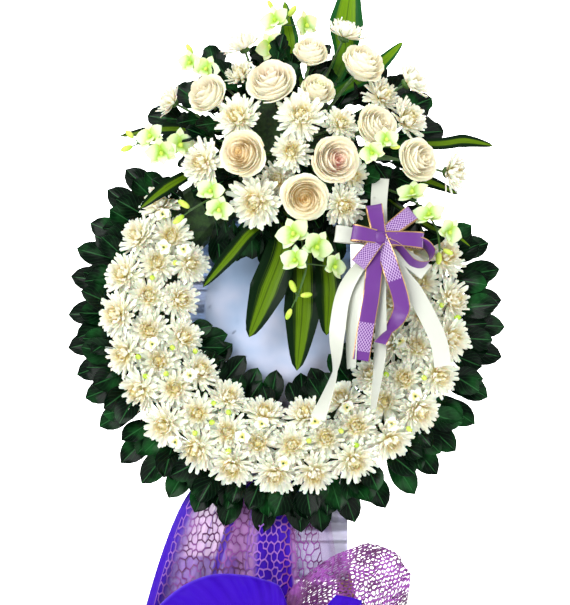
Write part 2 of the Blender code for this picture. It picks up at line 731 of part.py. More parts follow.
def make_ring_mums(wreath):
    """Six runs of heads in three rows; a run holds whole heads and meets the next without crossing it."""
    for sector in range(SECTORS):
        shapes = [sector_pad(sector)]
        for row, (distance, out, tilt, radius, count, _) in enumerate(HEAD_ROWS):
            for i in range(count):
                angle = row_start(sector, row) + SECTOR * (i + 0.5) / count + rng.uniform(-0.012, 0.012)
                lean = tilt + rng.uniform(-0.08, 0.08)
                look = polar(math.sin(lean), angle, math.cos(lean))
                place = polar(distance + rng.uniform(-0.002, 0.002), angle, out + rng.uniform(-0.002, 0.002))
                shapes.append(mum(facing(place, look, rng.uniform(0, TAU)), radius * rng.uniform(0.96, 1.04)))
        clipped = combine("INTERSECT", union(shapes), [sector_cell(sector)])
        finish(f"ring_mums_{sector + 1}", largest(clipped), "mum", wreath)


def leaf_run(start, end, ring, out, layers, inward=1):
    """A run of broad leaves round the ring, their feet in one bent twig."""
    twig = [polar(ring, start + (end - start) * i / 4, out) for i in range(5)]
    shapes = [rod(twig, TWIG_RADIUS, 4)]
    for count, length, width, rise, lift in layers:
        for i in range(count):
            angle = start + (end - start) * (i + 0.5) / count + rng.uniform(-0.010, 0.010)
            climb = math.radians(rise + rng.uniform(-1.5, 1.5))
            away = polar(math.cos(climb) * inward, angle + rng.uniform(-0.10, 0.10), math.sin(climb))
            foot = polar(ring, angle, out + lift)
            size = length * rng.uniform(0.94, 1.03)
            roll = polar(0, 0, 1) + polar(rng.uniform(-0.10, 0.10), angle + TAU / 4, 0)
            points = [foot + away * size * share for share in (0.0, 0.42, 0.76, 1.0)]
            shapes.append(blade(points, width, 0.0018, roll.normalized(), (0.14, 0.86, 1.0)))
    return union(shapes)


def make_collar(wreath):
    for sector in range(SECTORS):
        start = RING_START + SECTOR * sector
        run = leaf_run(start + 0.02, start + SECTOR - 0.02, *OUTER_TWIG, OUTER_LEAVES)
        finish(f"outer_leaves_{sector + 1}", run, "leaf", wreath)
    for name, start, end in (("inner_leaves_left", 190, 268), ("inner_leaves_right", 272, 350)):
        run = leaf_run(math.radians(start), math.radians(end), *INNER_TWIG, INNER_LEAVES, -1)
        finish(name, run, "leaf", wreath)


# Stand

def batten(foot, top, width, depth):
    """A straight batten between two level cuts, its foot flat on the floor."""
    sections = []
    for x, y, z in (foot, top):
        sections.append([Vector((x + dx, y + dy, z)) for dx, dy in
                         ((-width / 2, 0), (width / 2, 0), (width / 2, depth), (-width / 2, depth))])
    return loft(sections)


def make_stand(wreath):
    """Two front battens in the wreath's plane, an upright between them, a low bar and a rear batten."""
    slope = math.tan(LEAN)
    top_x = BATTEN + CLEAR
    top_y = FRONT_FEET_Y + LEG_TOP * slope
    for name, side in (("front_leg_left", -1), ("front_leg_right", 1)):
        leg = batten((side * FEET_X, FRONT_FEET_Y, 0), (side * top_x, top_y, LEG_TOP), BATTEN, BATTEN)
        finish(name, leg, "timber")
    low, high = UPRIGHT
    finish("upright", box((-BATTEN / 2, 0, low), (BATTEN / 2, UPRIGHT_DEPTH, high)), "timber", wreath)
    half_x, half_y, half_z = BAR_HALF
    front = BATTEN + CLEAR
    bar = box((-half_x, front, BAR_UP - half_z), (half_x, front + 2 * half_y, BAR_UP + half_z))
    finish("cross_bar", bar, "timber", wreath)
    rear_top = top_y + UPRIGHT_DEPTH / math.cos(LEAN) + CLEAR
    rear = batten((0, REAR_FOOT_Y - BATTEN, 0), (0, rear_top, LEG_TOP), BATTEN, BATTEN)
    finish("rear_leg", rear, "timber")


# Cloth and ribbon

def in_hole(x, up):
    """How far inside the ring's hole a point is, from 0 at its edge to 1 in the middle."""
    return max(0.0, 1.0 - (x * x + up * up) / HOLE_REACH ** 2)


def backing(s, t):
    """The pale cloth: flat behind the ring, softly folded in its hole, and hanging straight below it."""
    up = 0.160 - 0.560 * t
    narrow = min(1.0, max(0.0, (-up - 0.10) / 0.20))
    left, right = -0.150 + 0.060 * narrow, 0.100 - 0.008 * narrow
    x = left + (right - left) * s
    swell = 0.5 + 0.5 * math.sin(26 * x - 18 * up)
    out = CLEAR + 0.011 * in_hole(x, up) * swell
    return local((x, up, out))


def skirt_point(s, t, left, right, lift):
    """The gathered cloth under the ring: it widens quickly to the left and, lower down, to the right."""
    up = SKIRT_UP[0] + (SKIRT_UP[1] - SKIRT_UP[0]) * t
    edge_left = -0.120 - 0.175 * t ** 0.55
    edge_right = 0.062 + 0.208 * t ** 1.6
    share = left + (right - left) * s
    x = edge_left + (edge_right - edge_left) * share
    fold = 0.5 - 0.5 * math.cos(TAU * SKIRT_FOLDS * share + 1.5 * math.sin(5 * t + 3 * share))
    depth = 0.004 + (SKIRT_DEPTH - 0.004) * min(1.0, max(0.0, t - 0.10) / 0.3)
    return local((x, up, lift + depth * fold))


def fan(spec, start, root_out, folds):
    """A puffed loop of cloth round the knot: out along its length, over a lip and back behind."""
    knot_x, knot_up = SASH_KNOT
    low, high, lengths, puff = spec

    def place(s, t):
        angle = math.radians(low + (high - low) * s)
        spot = s * (len(lengths) - 1)
        i = min(int(spot), len(lengths) - 2)
        length = lengths[i] + (lengths[i + 1] - lengths[i]) * (spot - i)
        body = max(0.0, math.sin(math.pi * t))
        reach = start + (length - start) * body ** 0.75
        behind = root_out + 0.004 * body
        out = behind + (0.5 + 0.5 * math.cos(math.pi * t)) * (0.014 + 2 * puff * body ** 0.5)
        out += 0.0035 * body * math.sin(folds * angle)
        return local((knot_x + reach * math.cos(angle), knot_up + reach * math.sin(angle), out))

    return place


def make_cloth(wreath):
    columns = SKIRT_FOLDS * 4
    left, right = 1 / columns, 1 - 2 / columns
    finish("backing_cloth", sheet(6, 8, backing), "pale_cloth", wreath)
    skirt = sheet(columns, 4, lambda s, t: skirt_point(s, t, 0.0, 1.0, SKIRT_BACK))
    finish("organza_skirt", skirt, "violet", wreath)
    net = sheet(columns - 3, 4, lambda s, t: skirt_point(s, t, left, right, SKIRT_BACK + NET_LIFT))
    finish("skirt_net", net, "net", wreath)
    x, up = SASH_KNOT
    back = SKIRT_FRONT + CLEAR - SASH_SINK
    inside = back + SASH_INSIDE
    small = SASH_HALF - SASH_INSET
    violet = [
        box((x - SASH_HALF, -back - SASH_DEPTH, up - SASH_HALF), (x + SASH_HALF, -back, up + SASH_HALF)),
        box((x - small, -PEAK_OUT - PEAK_ROOT, up - small), (x + small, -inside, up + small)),
        sheet(8, 6, fan(VIOLET_FAN, 0.012, inside, 14)),
        sheet(3, 5, fan(VIOLET_PEAK, 0.006, PEAK_OUT, 10)),
    ]
    finish("violet_bow", union(violet, "MANIFOLD"), "violet", wreath)
    side = x + SASH_HALF + CLEAR
    wide, deep = NET_ROOT
    net_root = box((side, -inside - deep, up - small), (side + wide, -back, up + small))
    finish("net_bow", union([net_root, sheet(8, 6, fan(NET_FAN, 0.026, inside, 17))]), "net", wreath)


def loop_points(centre, angle, length, swell=0.010):
    """A bow's loop: forwards along its direction, round its end and back under itself."""
    away = local((math.cos(math.radians(angle)), math.sin(math.radians(angle)), 0))
    out = Vector((0, -1, 0))
    points = []
    for i in range(6):
        turn = math.pi * i / 5
        points.append(centre + away * (BOW_START + (length - BOW_START) * math.sin(turn))
                      + out * swell * math.cos(turn) * (0.30 + 0.70 * math.sin(turn)))
    return points


def bow_shapes(centre, loops, tails, swell):
    """The loops and tails of a bow, which all start inside its knot."""
    shapes = []
    for angle, length in loops:
        across = local((-math.sin(math.radians(angle)), math.cos(math.radians(angle)), 0))
        points = loop_points(centre, angle, length, swell)
        shapes.append(strap(points, RIBBON_WIDTH, RIBBON_THICK, across, 0.4))
    for tail in tails:
        path = smooth_path([local(point) for point in tail], 2)
        shapes.append(strap(path, RIBBON_WIDTH, RIBBON_THICK))
    return shapes


def block(centre, half, deep):
    """A small block round a point on the wreath, half as wide and deep as given."""
    x, up, out = centre
    return box((x - half, -out - deep, up - half), (x + half, -out + deep, up + half))


def make_ribbons(wreath):
    purple = [block(BOW, 0.009, 0.0085), *bow_shapes(local(BOW), PURPLE_LOOPS, PURPLE_TAILS, 0.009)]
    finish("purple_ribbon", union(purple), "purple", wreath)
    white = [block(WHITE_BACK, 0.012, 0.0027), rod((local(WHITE_BACK), local(PICK_FOOT)), 0.0018)]
    white += bow_shapes(local(WHITE_BACK), WHITE_LOOPS, WHITE_TAILS, 0.006)
    finish("white_ribbon", union(white), "white", wreath)


def main():
    for obj in list(bpy.data.objects):
        bpy.data.objects.remove(obj)
    collection = bpy.data.collections.new("flower_stand")
    bpy.context.scene.collection.children.link(collection)
    wreath = bpy.data.objects.new("wreath_frame", None)
    wreath.location = (0, FRONT_FEET_Y + RING_HEIGHT * math.tan(LEAN), RING_HEIGHT)
    wreath.rotation_euler = (-LEAN, 0, 0)
    collection.objects.link(wreath)
    make_stand(wreath)
    make_base(wreath)
    make_ring_mums(wreath)
    make_collar(wreath)
    make_roses(wreath)
    make_spray_mums(wreath)
    make_orchids(wreath)
    make_long_leaves(wreath)
    make_dome(wreath)
    make_cloth(wreath)
    make_ribbons(wreath)


main()
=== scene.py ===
"""Funeral flower stand: petals, leaves, ribbon and cloth dressed over the stand's solids.

The wreath and all it carries are made flat in the wreath's own plane, where x runs right, z runs up the wreath
and -y comes out of it, and are then leaned back. A point there is written (x, up, out), in metres.
"""

import math
import random

import bmesh
import bpy
from bpy.props import FloatProperty, FloatVectorProperty, IntProperty, PointerProperty
from mathutils import Matrix, Vector


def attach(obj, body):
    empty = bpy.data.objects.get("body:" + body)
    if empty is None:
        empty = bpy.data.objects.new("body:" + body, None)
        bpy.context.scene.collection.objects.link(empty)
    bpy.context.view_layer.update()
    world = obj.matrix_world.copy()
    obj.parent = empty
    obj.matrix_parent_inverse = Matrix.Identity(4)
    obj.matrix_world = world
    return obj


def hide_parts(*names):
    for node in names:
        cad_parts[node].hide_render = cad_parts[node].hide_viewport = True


bl_info = {
    "name": "Funeral Flower Stand",
    "version": (1, 0, 0),
    "blender": (4, 5, 0),
    "location": "3D View > Sidebar > Flower Stand",
    "description": "Dresses a funeral flower stand with blooms, leaves, ribbon and cloth",
    "category": "Object",
}

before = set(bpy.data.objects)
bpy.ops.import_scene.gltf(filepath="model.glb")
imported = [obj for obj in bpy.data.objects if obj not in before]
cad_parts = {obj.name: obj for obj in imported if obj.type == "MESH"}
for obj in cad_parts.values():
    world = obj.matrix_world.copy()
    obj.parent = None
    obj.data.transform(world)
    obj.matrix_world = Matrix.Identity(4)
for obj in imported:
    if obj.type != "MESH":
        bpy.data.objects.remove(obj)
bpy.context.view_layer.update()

TAU = math.tau
CLEAR = 0.0003
SHARP = math.radians(50)

# The wreath's lean, and its place over the feet
LEAN = math.radians(10)
RING_HEIGHT = 1.010
FRONT_FEET_Y = -0.280


def metres(table):
    """A table in metres from one in millimetres; the words in it stay."""
    if isinstance(table, dict):
        return {name: metres(part) for name, part in table.items()}
    if isinstance(table, tuple):
        return tuple(metres(part) for part in table)
    return table if isinstance(table, str) else table / 1000


WREATH = (Matrix.Translation((0, FRONT_FEET_Y + RING_HEIGHT * math.tan(LEAN), RING_HEIGHT))
          @ Matrix.Rotation(-LEAN, 4, "X"))

# The ring, the foam pad on it, the foam dome of the spray and the stems that stand in it
RING_INNER = 0.165
RING_OUTER = 0.245
PAD_BACK = 0.0404
PAD_FRONT = 0.0604
SECTORS = 6
RING_START = math.radians(133)
SECTOR = math.radians(252) / SECTORS
HEART = Vector((0.010, -PAD_BACK, 0.240))
DOME = Vector((0.106, 0.045, 0.097))
STEM_RADIUS = 0.0026
STEM_DEPTH = 0.24
STEM_FORWARD = 0.24
MOUTH_LIFT = 0.012
FORK = 0.93
# How far blooms turn to the front: those near the dome's middle, those at its rim, and where the rim starts
TOWARDS_FRONT = 0.9
RIM_FRONT = 0.25
RIM_REACH = 0.183

# Rows of heads on the ring: distance, out, tilt outwards, head radius, heads in a sector, share turned on
HEAD_ROWS = (
    (0.251, PAD_FRONT - 0.008, math.radians(38), 0.0330, 3, 0.0),
    (0.205, PAD_FRONT - 0.001, math.radians(2), 0.0300, 3, 0.5),
    (0.160, PAD_FRONT - 0.008, math.radians(-36), 0.0300, 2, 0.5),
)

# Leaves on the ring: layers of leaves in a run, length, width, rise, and lift off the twig
OUTER_LEAVES = ((5, 0.080, 0.034, 2, -0.0005), (4, 0.060, 0.034, 15, 0.0011))
INNER_LEAVES = ((5, 0.064, 0.029, 7, 0.0),)

# Blooms of the spray in millimetres: place and radius, and for roses which colour their heart has
ROSES = metres({
    "rose_1": (-22, 333, 118, 37, "blush"),
    "rose_2": (38, 390, 88, 27, "cream"),
    "rose_3": (-119, 321, 94, 31, "cream"),
    "rose_4": (118, 372, 86, 33, "cream"),
    "rose_5": (48, 324, 108, 26, "green"),
    "rose_6": (136, 263, 120, 32, "cream"),
    "rose_7": (-64, 217, 136, 34, "yellow"),
    "rose_8": (73, 205, 142, 36, "pink"),
    "rose_9": (27, 152, 128, 34, "gold"),
    "rose_10": (198, 216, 102, 32, "cream"),
})
SPRAY_MUMS = metres({
    "spray_mums_top": ((-66, 405, 70, 30), (-70, 355, 80, 25)),
    "spray_mums_peak": ((91, 425, 66, 32),),
    "spray_mums_corner": ((190, 350, 66, 33), (148, 326, 66, 31)),
    "spray_mums_right": ((249, 205, 72, 32), (182, 285, 80, 32)),
    "spray_mums_middle": ((22, 275, 134, 36), (82, 268, 116, 26), (8, 222, 128, 28)),
    "spray_mums_left": ((-72, 280, 112, 35), (-126, 212, 100, 34), (-175, 318, 66, 26)),
    "spray_mums_low": ((-46, 152, 100, 39), (86, 145, 104, 31), (-13, 186, 100, 26), (100, 190, 104, 26)),
})

# Orchid sprays in millimetres: points of the stem, then florets and buds with their size
ORCHIDS = metres({
    "orchid_left": (
        ((-150, 262, 80), (-195, 244, 88), (-225, 246, 86)),
        ((-160, 240, 98, 21), (-186, 228, 100, 20), (-202, 252, 100, 19)),
        ((-240, 240, 80, 18), (-236, 262, 80, 16)),
    ),
    "orchid_top": (
        ((0, 380, 52), (-10, 415, 52), (-4, 450, 52)),
        ((-22, 405, 66, 20), (-16, 448, 62, 20), (30, 440, 62, 19)),
        ((10, 466, 56, 18), (-24, 476, 56, 15)),
    ),
    "orchid_upper_left": (
        ((-95, 345, 60), (-125, 372, 62), (-140, 388, 62)),
        ((-122, 366, 74, 18), (-146, 378, 70, 16)),
        ((-148, 402, 64, 16),),
    ),
    "orchid_right": (
        ((118, 228, 112), (136, 228, 136)),
        ((126, 214, 150, 16), (146, 232, 154, 16)),
        ((160, 224, 146, 14),),
    ),
    "orchid_hanging": (
        ((20, 124, 86), (24, 90, 98), (30, 55, 94), (14, 5, 86)),
        ((12, 100, 112, 22), (44, 82, 110, 21), (14, 62, 108, 19), (70, 54, 100, 18)),
        ((10, 26, 94, 18), (30, 14, 88, 16), (4, -14, 84, 16)),
    ),
    "orchid_bow": (
        ((176, 165, 86), (205, 140, 96), (224, 110, 96), (228, 80, 90)),
        ((188, 164, 104, 20), (212, 130, 108, 20), (240, 106, 102, 19)),
        ((226, 68, 94, 18), (240, 78, 94, 15)),
    ),
    "orchid_low_left": (
        ((-85, 178, 72), (-112, 160, 90), (-145, 140, 92)),
        ((-112, 166, 108, 18), (-100, 140, 104, 18)),
        ((-152, 150, 96, 18), (-160, 128, 90, 18)),
    ),
})

# Groups of long leaves in millimetres: each leaf's points to its tip, and its width
LONG_LEAVES = metres({
    "dracaena_top": (
        (((90, 400, 32), (94, 455, 34), (105, 535, 40)), 54),
        (((20, 360, 40), (6, 430, 44), (-2, 486, 46)), 26),
        (((135, 378, 34), (182, 424, 34)), 46),
    ),
    "dracaena_left": (
        (((-130, 272, 54), (-184, 278, 56), (-254, 268, 50)), 18),
        (((-130, 215, 60), (-181, 178, 82), (-218, 146, 86)), 22),
    ),
    "dracaena_right": (
        (((150, 250, 56), (233, 251, 66), (271, 255, 68), (314, 249, 64)), 20),
        (((150, 170, 60), (214, 120, 78), (246, 108, 88), (274, 88, 86)), 14),
        (((205, 200, 50), (262, 178, 46)), 36),
    ),
    "dracaena_low": (
        (((-30, 130, 60), (-54, 112, 74), (-83, 76, 80), (-123, 27, 85)), 24),
        (((-10, 120, 60), (-6, 86, 72), (-28, 24, 72), (-55, -44, 60)), 54),
        (((22, 120, 54), (25, 70, 62), (24, -7, 64), (16, -94, 56)), 55),
        (((50, 120, 58), (62, 55, 70), (64, 9, 72), (60, -41, 60)), 42),
    ),
    "filler_left": (
        (((-140, 330, 46), (-170, 352, 42)), 40),
        (((-180, 300, 42), (-215, 306, 38)), 40),
        (((-104, 375, 46), (-120, 420, 42)), 36),
        (((-150, 270, 40), (-196, 262, 34)), 36),
    ),
    "filler_right": (
        (((190, 320, 42), (228, 335, 38)), 40),
        (((205, 270, 40), (245, 282, 36)), 40),
        (((160, 335, 40), (190, 372, 34)), 36),
    ),
})

# Which way the stalks of these groups run, in degrees
STALKS = {"dracaena_top": 58.5, "dracaena_left": 183, "dracaena_right": -16, "dracaena_low": -103,
          "filler_left": 160, "filler_right": 15}

# How a long leaf widens along its points, by the number of its points after the fork
BLADE_SHARES = {2: (0.12, 0.45), 3: (0.12, 0.45, 1.0), 4: (0.12, 0.40, 0.85, 1.0)}

# Dark leaves that fill the spray's gaps: how many, round where, how far, and over which arcs of the ring
FILL_LEAVES = 96
FILL_TURN = 2.39996
FILL_CENTRE = (0.022, 0.272, 0.0)
FILL_HALF = (0.158, 0.118)
FILL_ARCS = ((98, 134, 12), (26, 84, 18))
# Dark leaves that hang into the hole: how many, across, and from which height and depth to which
HOLE_LEAVES = (15, (-0.112, 0.088), (0.132, 0.066), (0.062, 0.050))

# Bow: loops as direction, length and hatched share, then free lengths as points in millimetres, with how far
# they twist in degrees along them, and tails' hatched shares; a share of (2, 2) leaves the ribbon plain
BOW = metres((138, 95, 113))
BOW_START = 0.006
PURPLE_LOOPS = ((38, 0.062, (0, 1)), (-4, 0.064, (0.4, 1)), (100, 0.050, (2, 2)), (232, 0.052, (0, 1)),
                (170, 0.042, (0.6, 1)))
THIN_LOOP = metres(((146, 94, 112), (166, 82, 114), (186, 58, 114), (206, 56, 113),
                    (214, 72, 111), (203, 88, 109), (182, 94, 108), (148, 96, 108)))
PURPLE_TAILS = metres((
    ((138, 95, 110), (129, 46, 118), (125, 10, 112), (118, -30, 108), (109, -85, 104)),
    ((138, 95, 112), (154, 45, 124), (168, -1, 116), (164, -22, 110), (148, -45, 112), (136, -62, 118)),
))
PURPLE_TWISTS = ((10, 0, -4, 0, 0), (40, 10, 0, 20, 62, 40))
PURPLE_HATCHES = ((0.74, 0.90), (0.0, 0.26))
WHITE_BACK = metres((138, 95, 101.5))
WHITE_LOOPS = ((172, 0.066, (2, 2)), (-36, 0.084, (2, 2)))
WHITE_TAILS = metres((
    ((138, 95, 101.5), (138, 150, 100), (141, 188, 102)),
    ((138, 95, 101.5), (89, 25, 103), (75, -39, 98), (71, -100, 95), (46, -169, 94)),
    ((138, 95, 102), (106, 26, 104), (97, -15, 99), (95, -96, 96)),
    ((138, 95, 101), (139, 10, 100), (137, -74, 96), (126, -156, 94)),
    ((138, 95, 101), (170, 41, 100), (191, 12, 100), (221, -49, 98), (229, -93, 96)),
))
WHITE_TWISTS = ((0, 12, 0), (62, 30, 20, 74, 25), (40, 30, 62), (66, 56, 48, 74), (64, 30, 8, 4, 18))
PICK_FOOT = (0.136, 0.140, PAD_BACK + 0.001)

# Ribbon: thickness, points of a loop, pitch of its rib and its hatch, and the hatch's colour
RIBBON = 0.0005
LOOP_STEPS = 36
RIB_PITCH = 0.0009
HATCH_PITCH = 0.0042
HATCH = (0.62, 0.46, 0.72)
PLAIN = (2, 2)

# Colours of the frame's parts, dark and light, and of the timber's rings
TRAY = (0.008, 0.045, 0.014), (0.012, 0.06, 0.02)
MOSS = (0.006, 0.022, 0.005), (0.022, 0.060, 0.012)
TIMBER = (0.20, 0.105, 0.045), (0.47, 0.30, 0.16), (0.26, 0.14, 0.06)

# Studio: a floor that curves up into a wall: whole run, flat part, curve's radius, half width, reach to the front
FLOOR_RUN = 20.0
FLOOR_FLAT = 13.0
FLOOR_CURVE = 1.6
FLOOR_HALF = 8
FLOOR_FRONT = 7.0
LAMPS = (
    ("key_light", (-1.8, -2.6, 2.6), (0, 0, 1.0), 2.2, 100),
    ("fill_light", (2.4, -2.4, 1.6), (0, 0, 0.9), 2.4, 40),
    ("top_light", (0, 0.2, 3.2), (0, 0, 1.0), 2.6, 50),
    ("back_light", (0.6, 5.0, 3.0), (0, 7.0, 1.4), 3.0, 420),
)
PAPER_GLOW = 0.55
SKY_GLOW = 0.40

# Cloth: the skirt, and the two bows tied over it
SKIRT_UP = (-0.250, -0.925)
SKIRT_FOLDS = 6
SKIRT_DEPTH = 0.030
SKIRT_BACK = 0.0018
NET_LIFT = 0.0026
SASH_KNOT = (-0.012, -0.520)
SASH_HALF = 0.018
SASH_BACK = 0.0287
HOLE_REACH = 0.125

# Nets: shift of a cell's corners, cells that merge, welding distance, smallest share of a cell, and inset
NET_JITTER = 0.46
NET_MERGE = 0.20
NET_WELD = 0.0012
NET_SLIVER = 0.3
NET_INSET = 0.58
ORGANZA_PITCH = 0.0012

# Fans of cloth: first and last direction in degrees, lengths from one to the other, and puff
VIOLET_FAN = (76, 192, (0.070, 0.112, 0.124, 0.140, 0.160, 0.176, 0.190, 0.196, 0.172, 0.135), 0.020)
VIOLET_PEAK = (24, 50, (0.118, 0.150, 0.128), 0.008)
PEAK_OUT = 0.088
NET_FAN = (14, 82, (0.165, 0.202, 0.232, 0.236, 0.217, 0.173, 0.132, 0.102), 0.015)

# Buds and florets in a sector, the painted glow inside the roses, and growth of florets and leaves over their
# solids
RING_BUDS = 11
PAINTED_PETAL_GLOW = 0.07
FLORET_SPREAD = 1.28
LEAF_REACH, LEAF_SPREAD = 1.08, 1.12

# A chrysanthemum head of radius 1: petals, length, width, rise at the foot and bend to the tip in degrees, rows
MUM_LAYERS = (
    (19, 1.02, 0.190, -13, 24, 3),
    (20, 0.95, 0.185, -2, 28, 3),
    (19, 0.85, 0.175, 9, 34, 3),
    (18, 0.74, 0.165, 20, 42, 3),
    (17, 0.63, 0.155, 31, 52, 3),
    (16, 0.53, 0.140, 42, 62, 2),
    (15, 0.44, 0.125, 52, 72, 2),
    (13, 0.35, 0.110, 61, 80, 2),
    (11, 0.27, 0.100, 70, 86, 2),
    (8, 0.19, 0.090, 78, 90, 2),
    (5, 0.13, 0.080, 84, 90, 2),
)

# A rose of radius 1: petals of a layer, radius at the bulge and at the rim, height, and half a petal's turn
ROSE_LAYERS = (
    (3, 0.80, 0.97, -0.06, 0.205),
    (3, 0.78, 0.91, 0.14, 0.205),
    (3, 0.72, 0.78, 0.34, 0.205),
    (3, 0.66, 0.65, 0.48, 0.205),
    (3, 0.58, 0.53, 0.57, 0.200),
    (3, 0.48, 0.42, 0.62, 0.200),
    (3, 0.39, 0.32, 0.65, 0.200),
    (2, 0.29, 0.23, 0.66, 0.290),
    (2, 0.19, 0.14, 0.66, 0.290),
    (2, 0.11, 0.06, 0.64, 0.300),
)


# Settings

def share(title, description, default, most=1.0):
    """A plain number between 0 and a limit."""
    return FloatProperty(name=title, description=description, default=default, min=0.0, max=most)


def size(title, description, default):
    """A length in metres."""
    return FloatProperty(name=title, description=description, default=default, min=0.0, unit="LENGTH")


def tint(title, description, red, green, blue):
    """A colour, given as it looks on a screen from 0 to 255."""
    linear = [(part / 255 / 12.92) if part < 11 else ((part / 255 + 0.055) / 1.055) ** 2.4
              for part in (red, green, blue)]
    return FloatVectorProperty(name=title, description=description, default=linear, size=3, min=0.0, max=1.0,
                               subtype="COLOR")


class BloomSettings(bpy.types.PropertyGroup):
    """Sizes and colours of the blooms."""
    petal_thickness: size("Petal Thickness", "How thick a petal is", 0.0004)
    head_spread: share("Head Spread", "Chrysanthemum heads' reach, against the solid heads", 1.12, 1.4)
    mum_tip: tint("Chrysanthemum Tip", "Outer part of the petals", 255, 254, 238)
    mum_heart: tint("Chrysanthemum Heart", "Petals at the heart", 244, 220, 124)
    rose_outer: tint("Rose Petal", "Outer petals of the roses", 255, 249, 226)
    rose_cream: tint("Cream Heart", "Heart of the cream roses", 250, 238, 204)
    rose_yellow: tint("Yellow Heart", "Heart of the yellow rose", 248, 218, 150)
    rose_gold: tint("Gold Heart", "Heart of the golden rose", 252, 226, 160)
    rose_pink: tint("Pink Heart", "Heart of the pink rose", 252, 190, 178)
    rose_blush: tint("Blush Heart", "Heart of the blush rose", 252, 226, 210)
    rose_green: tint("Green Heart", "Heart of the greenish rose", 236, 242, 190)
    orchid_white: tint("Orchid Petal", "Petals of the orchids", 232, 244, 198)
    bud_lime: tint("Bud Lime", "Paler part of the buds", 206, 222, 96)
    orchid_lime: tint("Orchid Lime", "Hearts and buds of the orchids", 164, 204, 40)


class LeafSettings(bpy.types.PropertyGroup):
    """Sizes and colours of the leaves and stems."""
    leaf_thickness: size("Leaf Thickness", "How thick a leaf is", 0.0006)
    extra_leaves: IntProperty(name="Extra Leaves", description="More leaves in each run", default=9, min=0)
    leaf_dark: tint("Leaf", "Glossy leaves round the ring", 1, 14, 5)
    # The lighter green is partly painted highlight: on the glossy leaves its patches stand in for highlights.
    leaf_light: tint("Leaf Light", "Lighter parts of the same leaves", 22, 78, 32)
    stripe_dark: tint("Blade Edge", "Edges of the long leaves", 2, 26, 4)
    stripe_light: tint("Blade Band", "Middle band of the long leaves", 88, 120, 10)
    stem: tint("Stem", "Stems and sepals", 58, 98, 28)


class ClothSettings(bpy.types.PropertyGroup):
    """Sizes and colours of the cloth and ribbon."""
    ribbon_width: size("Ribbon Width", "Width of both ribbons", 0.025)
    cloth_thickness: size("Cloth Thickness", "How thick the cloths are", 0.0005)
    net_thread: size("Net Thread Width", "Width of the nets' threads", 0.0014)
    net_thickness: size("Net Thickness", "How thick the nets' threads are", 0.0012)
    net_cell: size("Net Cell", "Width of a cell of the skirt's net", 0.0098)
    bow_cell: size("Bow Net Cell", "Width of a cell of the net bow", 0.0055)
    pale: tint("Backing Blue", "Backing cloth, bluish side", 168, 194, 228)
    lavender: tint("Backing Lavender", "Backing cloth, lavender side", 234, 232, 250)
    organza: tint("Organza", "Deep organza", 62, 14, 176)
    sheer: tint("Sheer Organza", "Organza where it lies single", 196, 142, 198)
    flounce: tint("Flounce", "Organza bow", 50, 0, 176)
    # A painted highlight along the lip of the organza bow
    flounce_lip_highlight: tint("Flounce Lip", "Lip of the organza bow", 106, 74, 232)
    thread: tint("Net Thread", "Mauve threads of the nets", 146, 66, 162)
    thread_dark: tint("Net Thread Dark", "Plum threads of the nets", 84, 18, 84)
    thread_pale: tint("Net Thread Pale", "Threads over the deep organza", 158, 104, 214)
    ribbon: tint("Ribbon", "Purple ribbon", 98, 36, 132)
    gold: tint("Ribbon Edge", "Metallic edge of the purple ribbon", 176, 140, 92)
    satin: tint("White Satin", "White ribbon", 204, 208, 196)


class StageSettings(bpy.types.PropertyGroup):
    """The camera and the light."""
    camera_distance: size("Camera Distance", "Camera in front of the origin", 2.55)
    camera_height: size("Camera Height", "Camera above the floor", 1.028)
    camera_side: FloatProperty(name="Camera Side", description="Camera to the right of the middle",
                               default=-0.0015, unit="LENGTH")
    lens: FloatProperty(name="Lens", description="Focal length of the camera", default=95.2, unit="CAMERA")
    brightness: share("Brightness", "Strength of the studio light", 1.0, 4.0)


# Shader expressions

class Value:
    """A socket in a material, on which sums are written as plain expressions."""

    def __init__(self, recipe, socket):
        self.recipe = recipe
        self.socket = socket

    def _sum(self, operation, *others):
        return self.recipe.node("ShaderNodeMath", dict(enumerate((self, *others))), operation=operation)

    def __add__(self, other):
        return self._sum("ADD", other)

    def __sub__(self, other):
        return self._sum("SUBTRACT", other)

    def __rsub__(self, other):
        return self.recipe.node("ShaderNodeMath", {0: other, 1: self}, operation="SUBTRACT")

    def __mul__(self, other):
        return self._sum("MULTIPLY", other)

    def __abs__(self):
        return self._sum("ABSOLUTE")

    def sine(self):
        return self._sum("SINE")

    def most(self, other):
        return self._sum("MAXIMUM", other)

    def step(self, low, high):
        """A soft step from 0 at low to 1 at high."""
        return self.recipe.node("ShaderNodeMapRange", {"Value": self, "From Min": low, "From Max": high},
                                interpolation_type="SMOOTHSTEP")

    __radd__ = __add__
    __rmul__ = __mul__


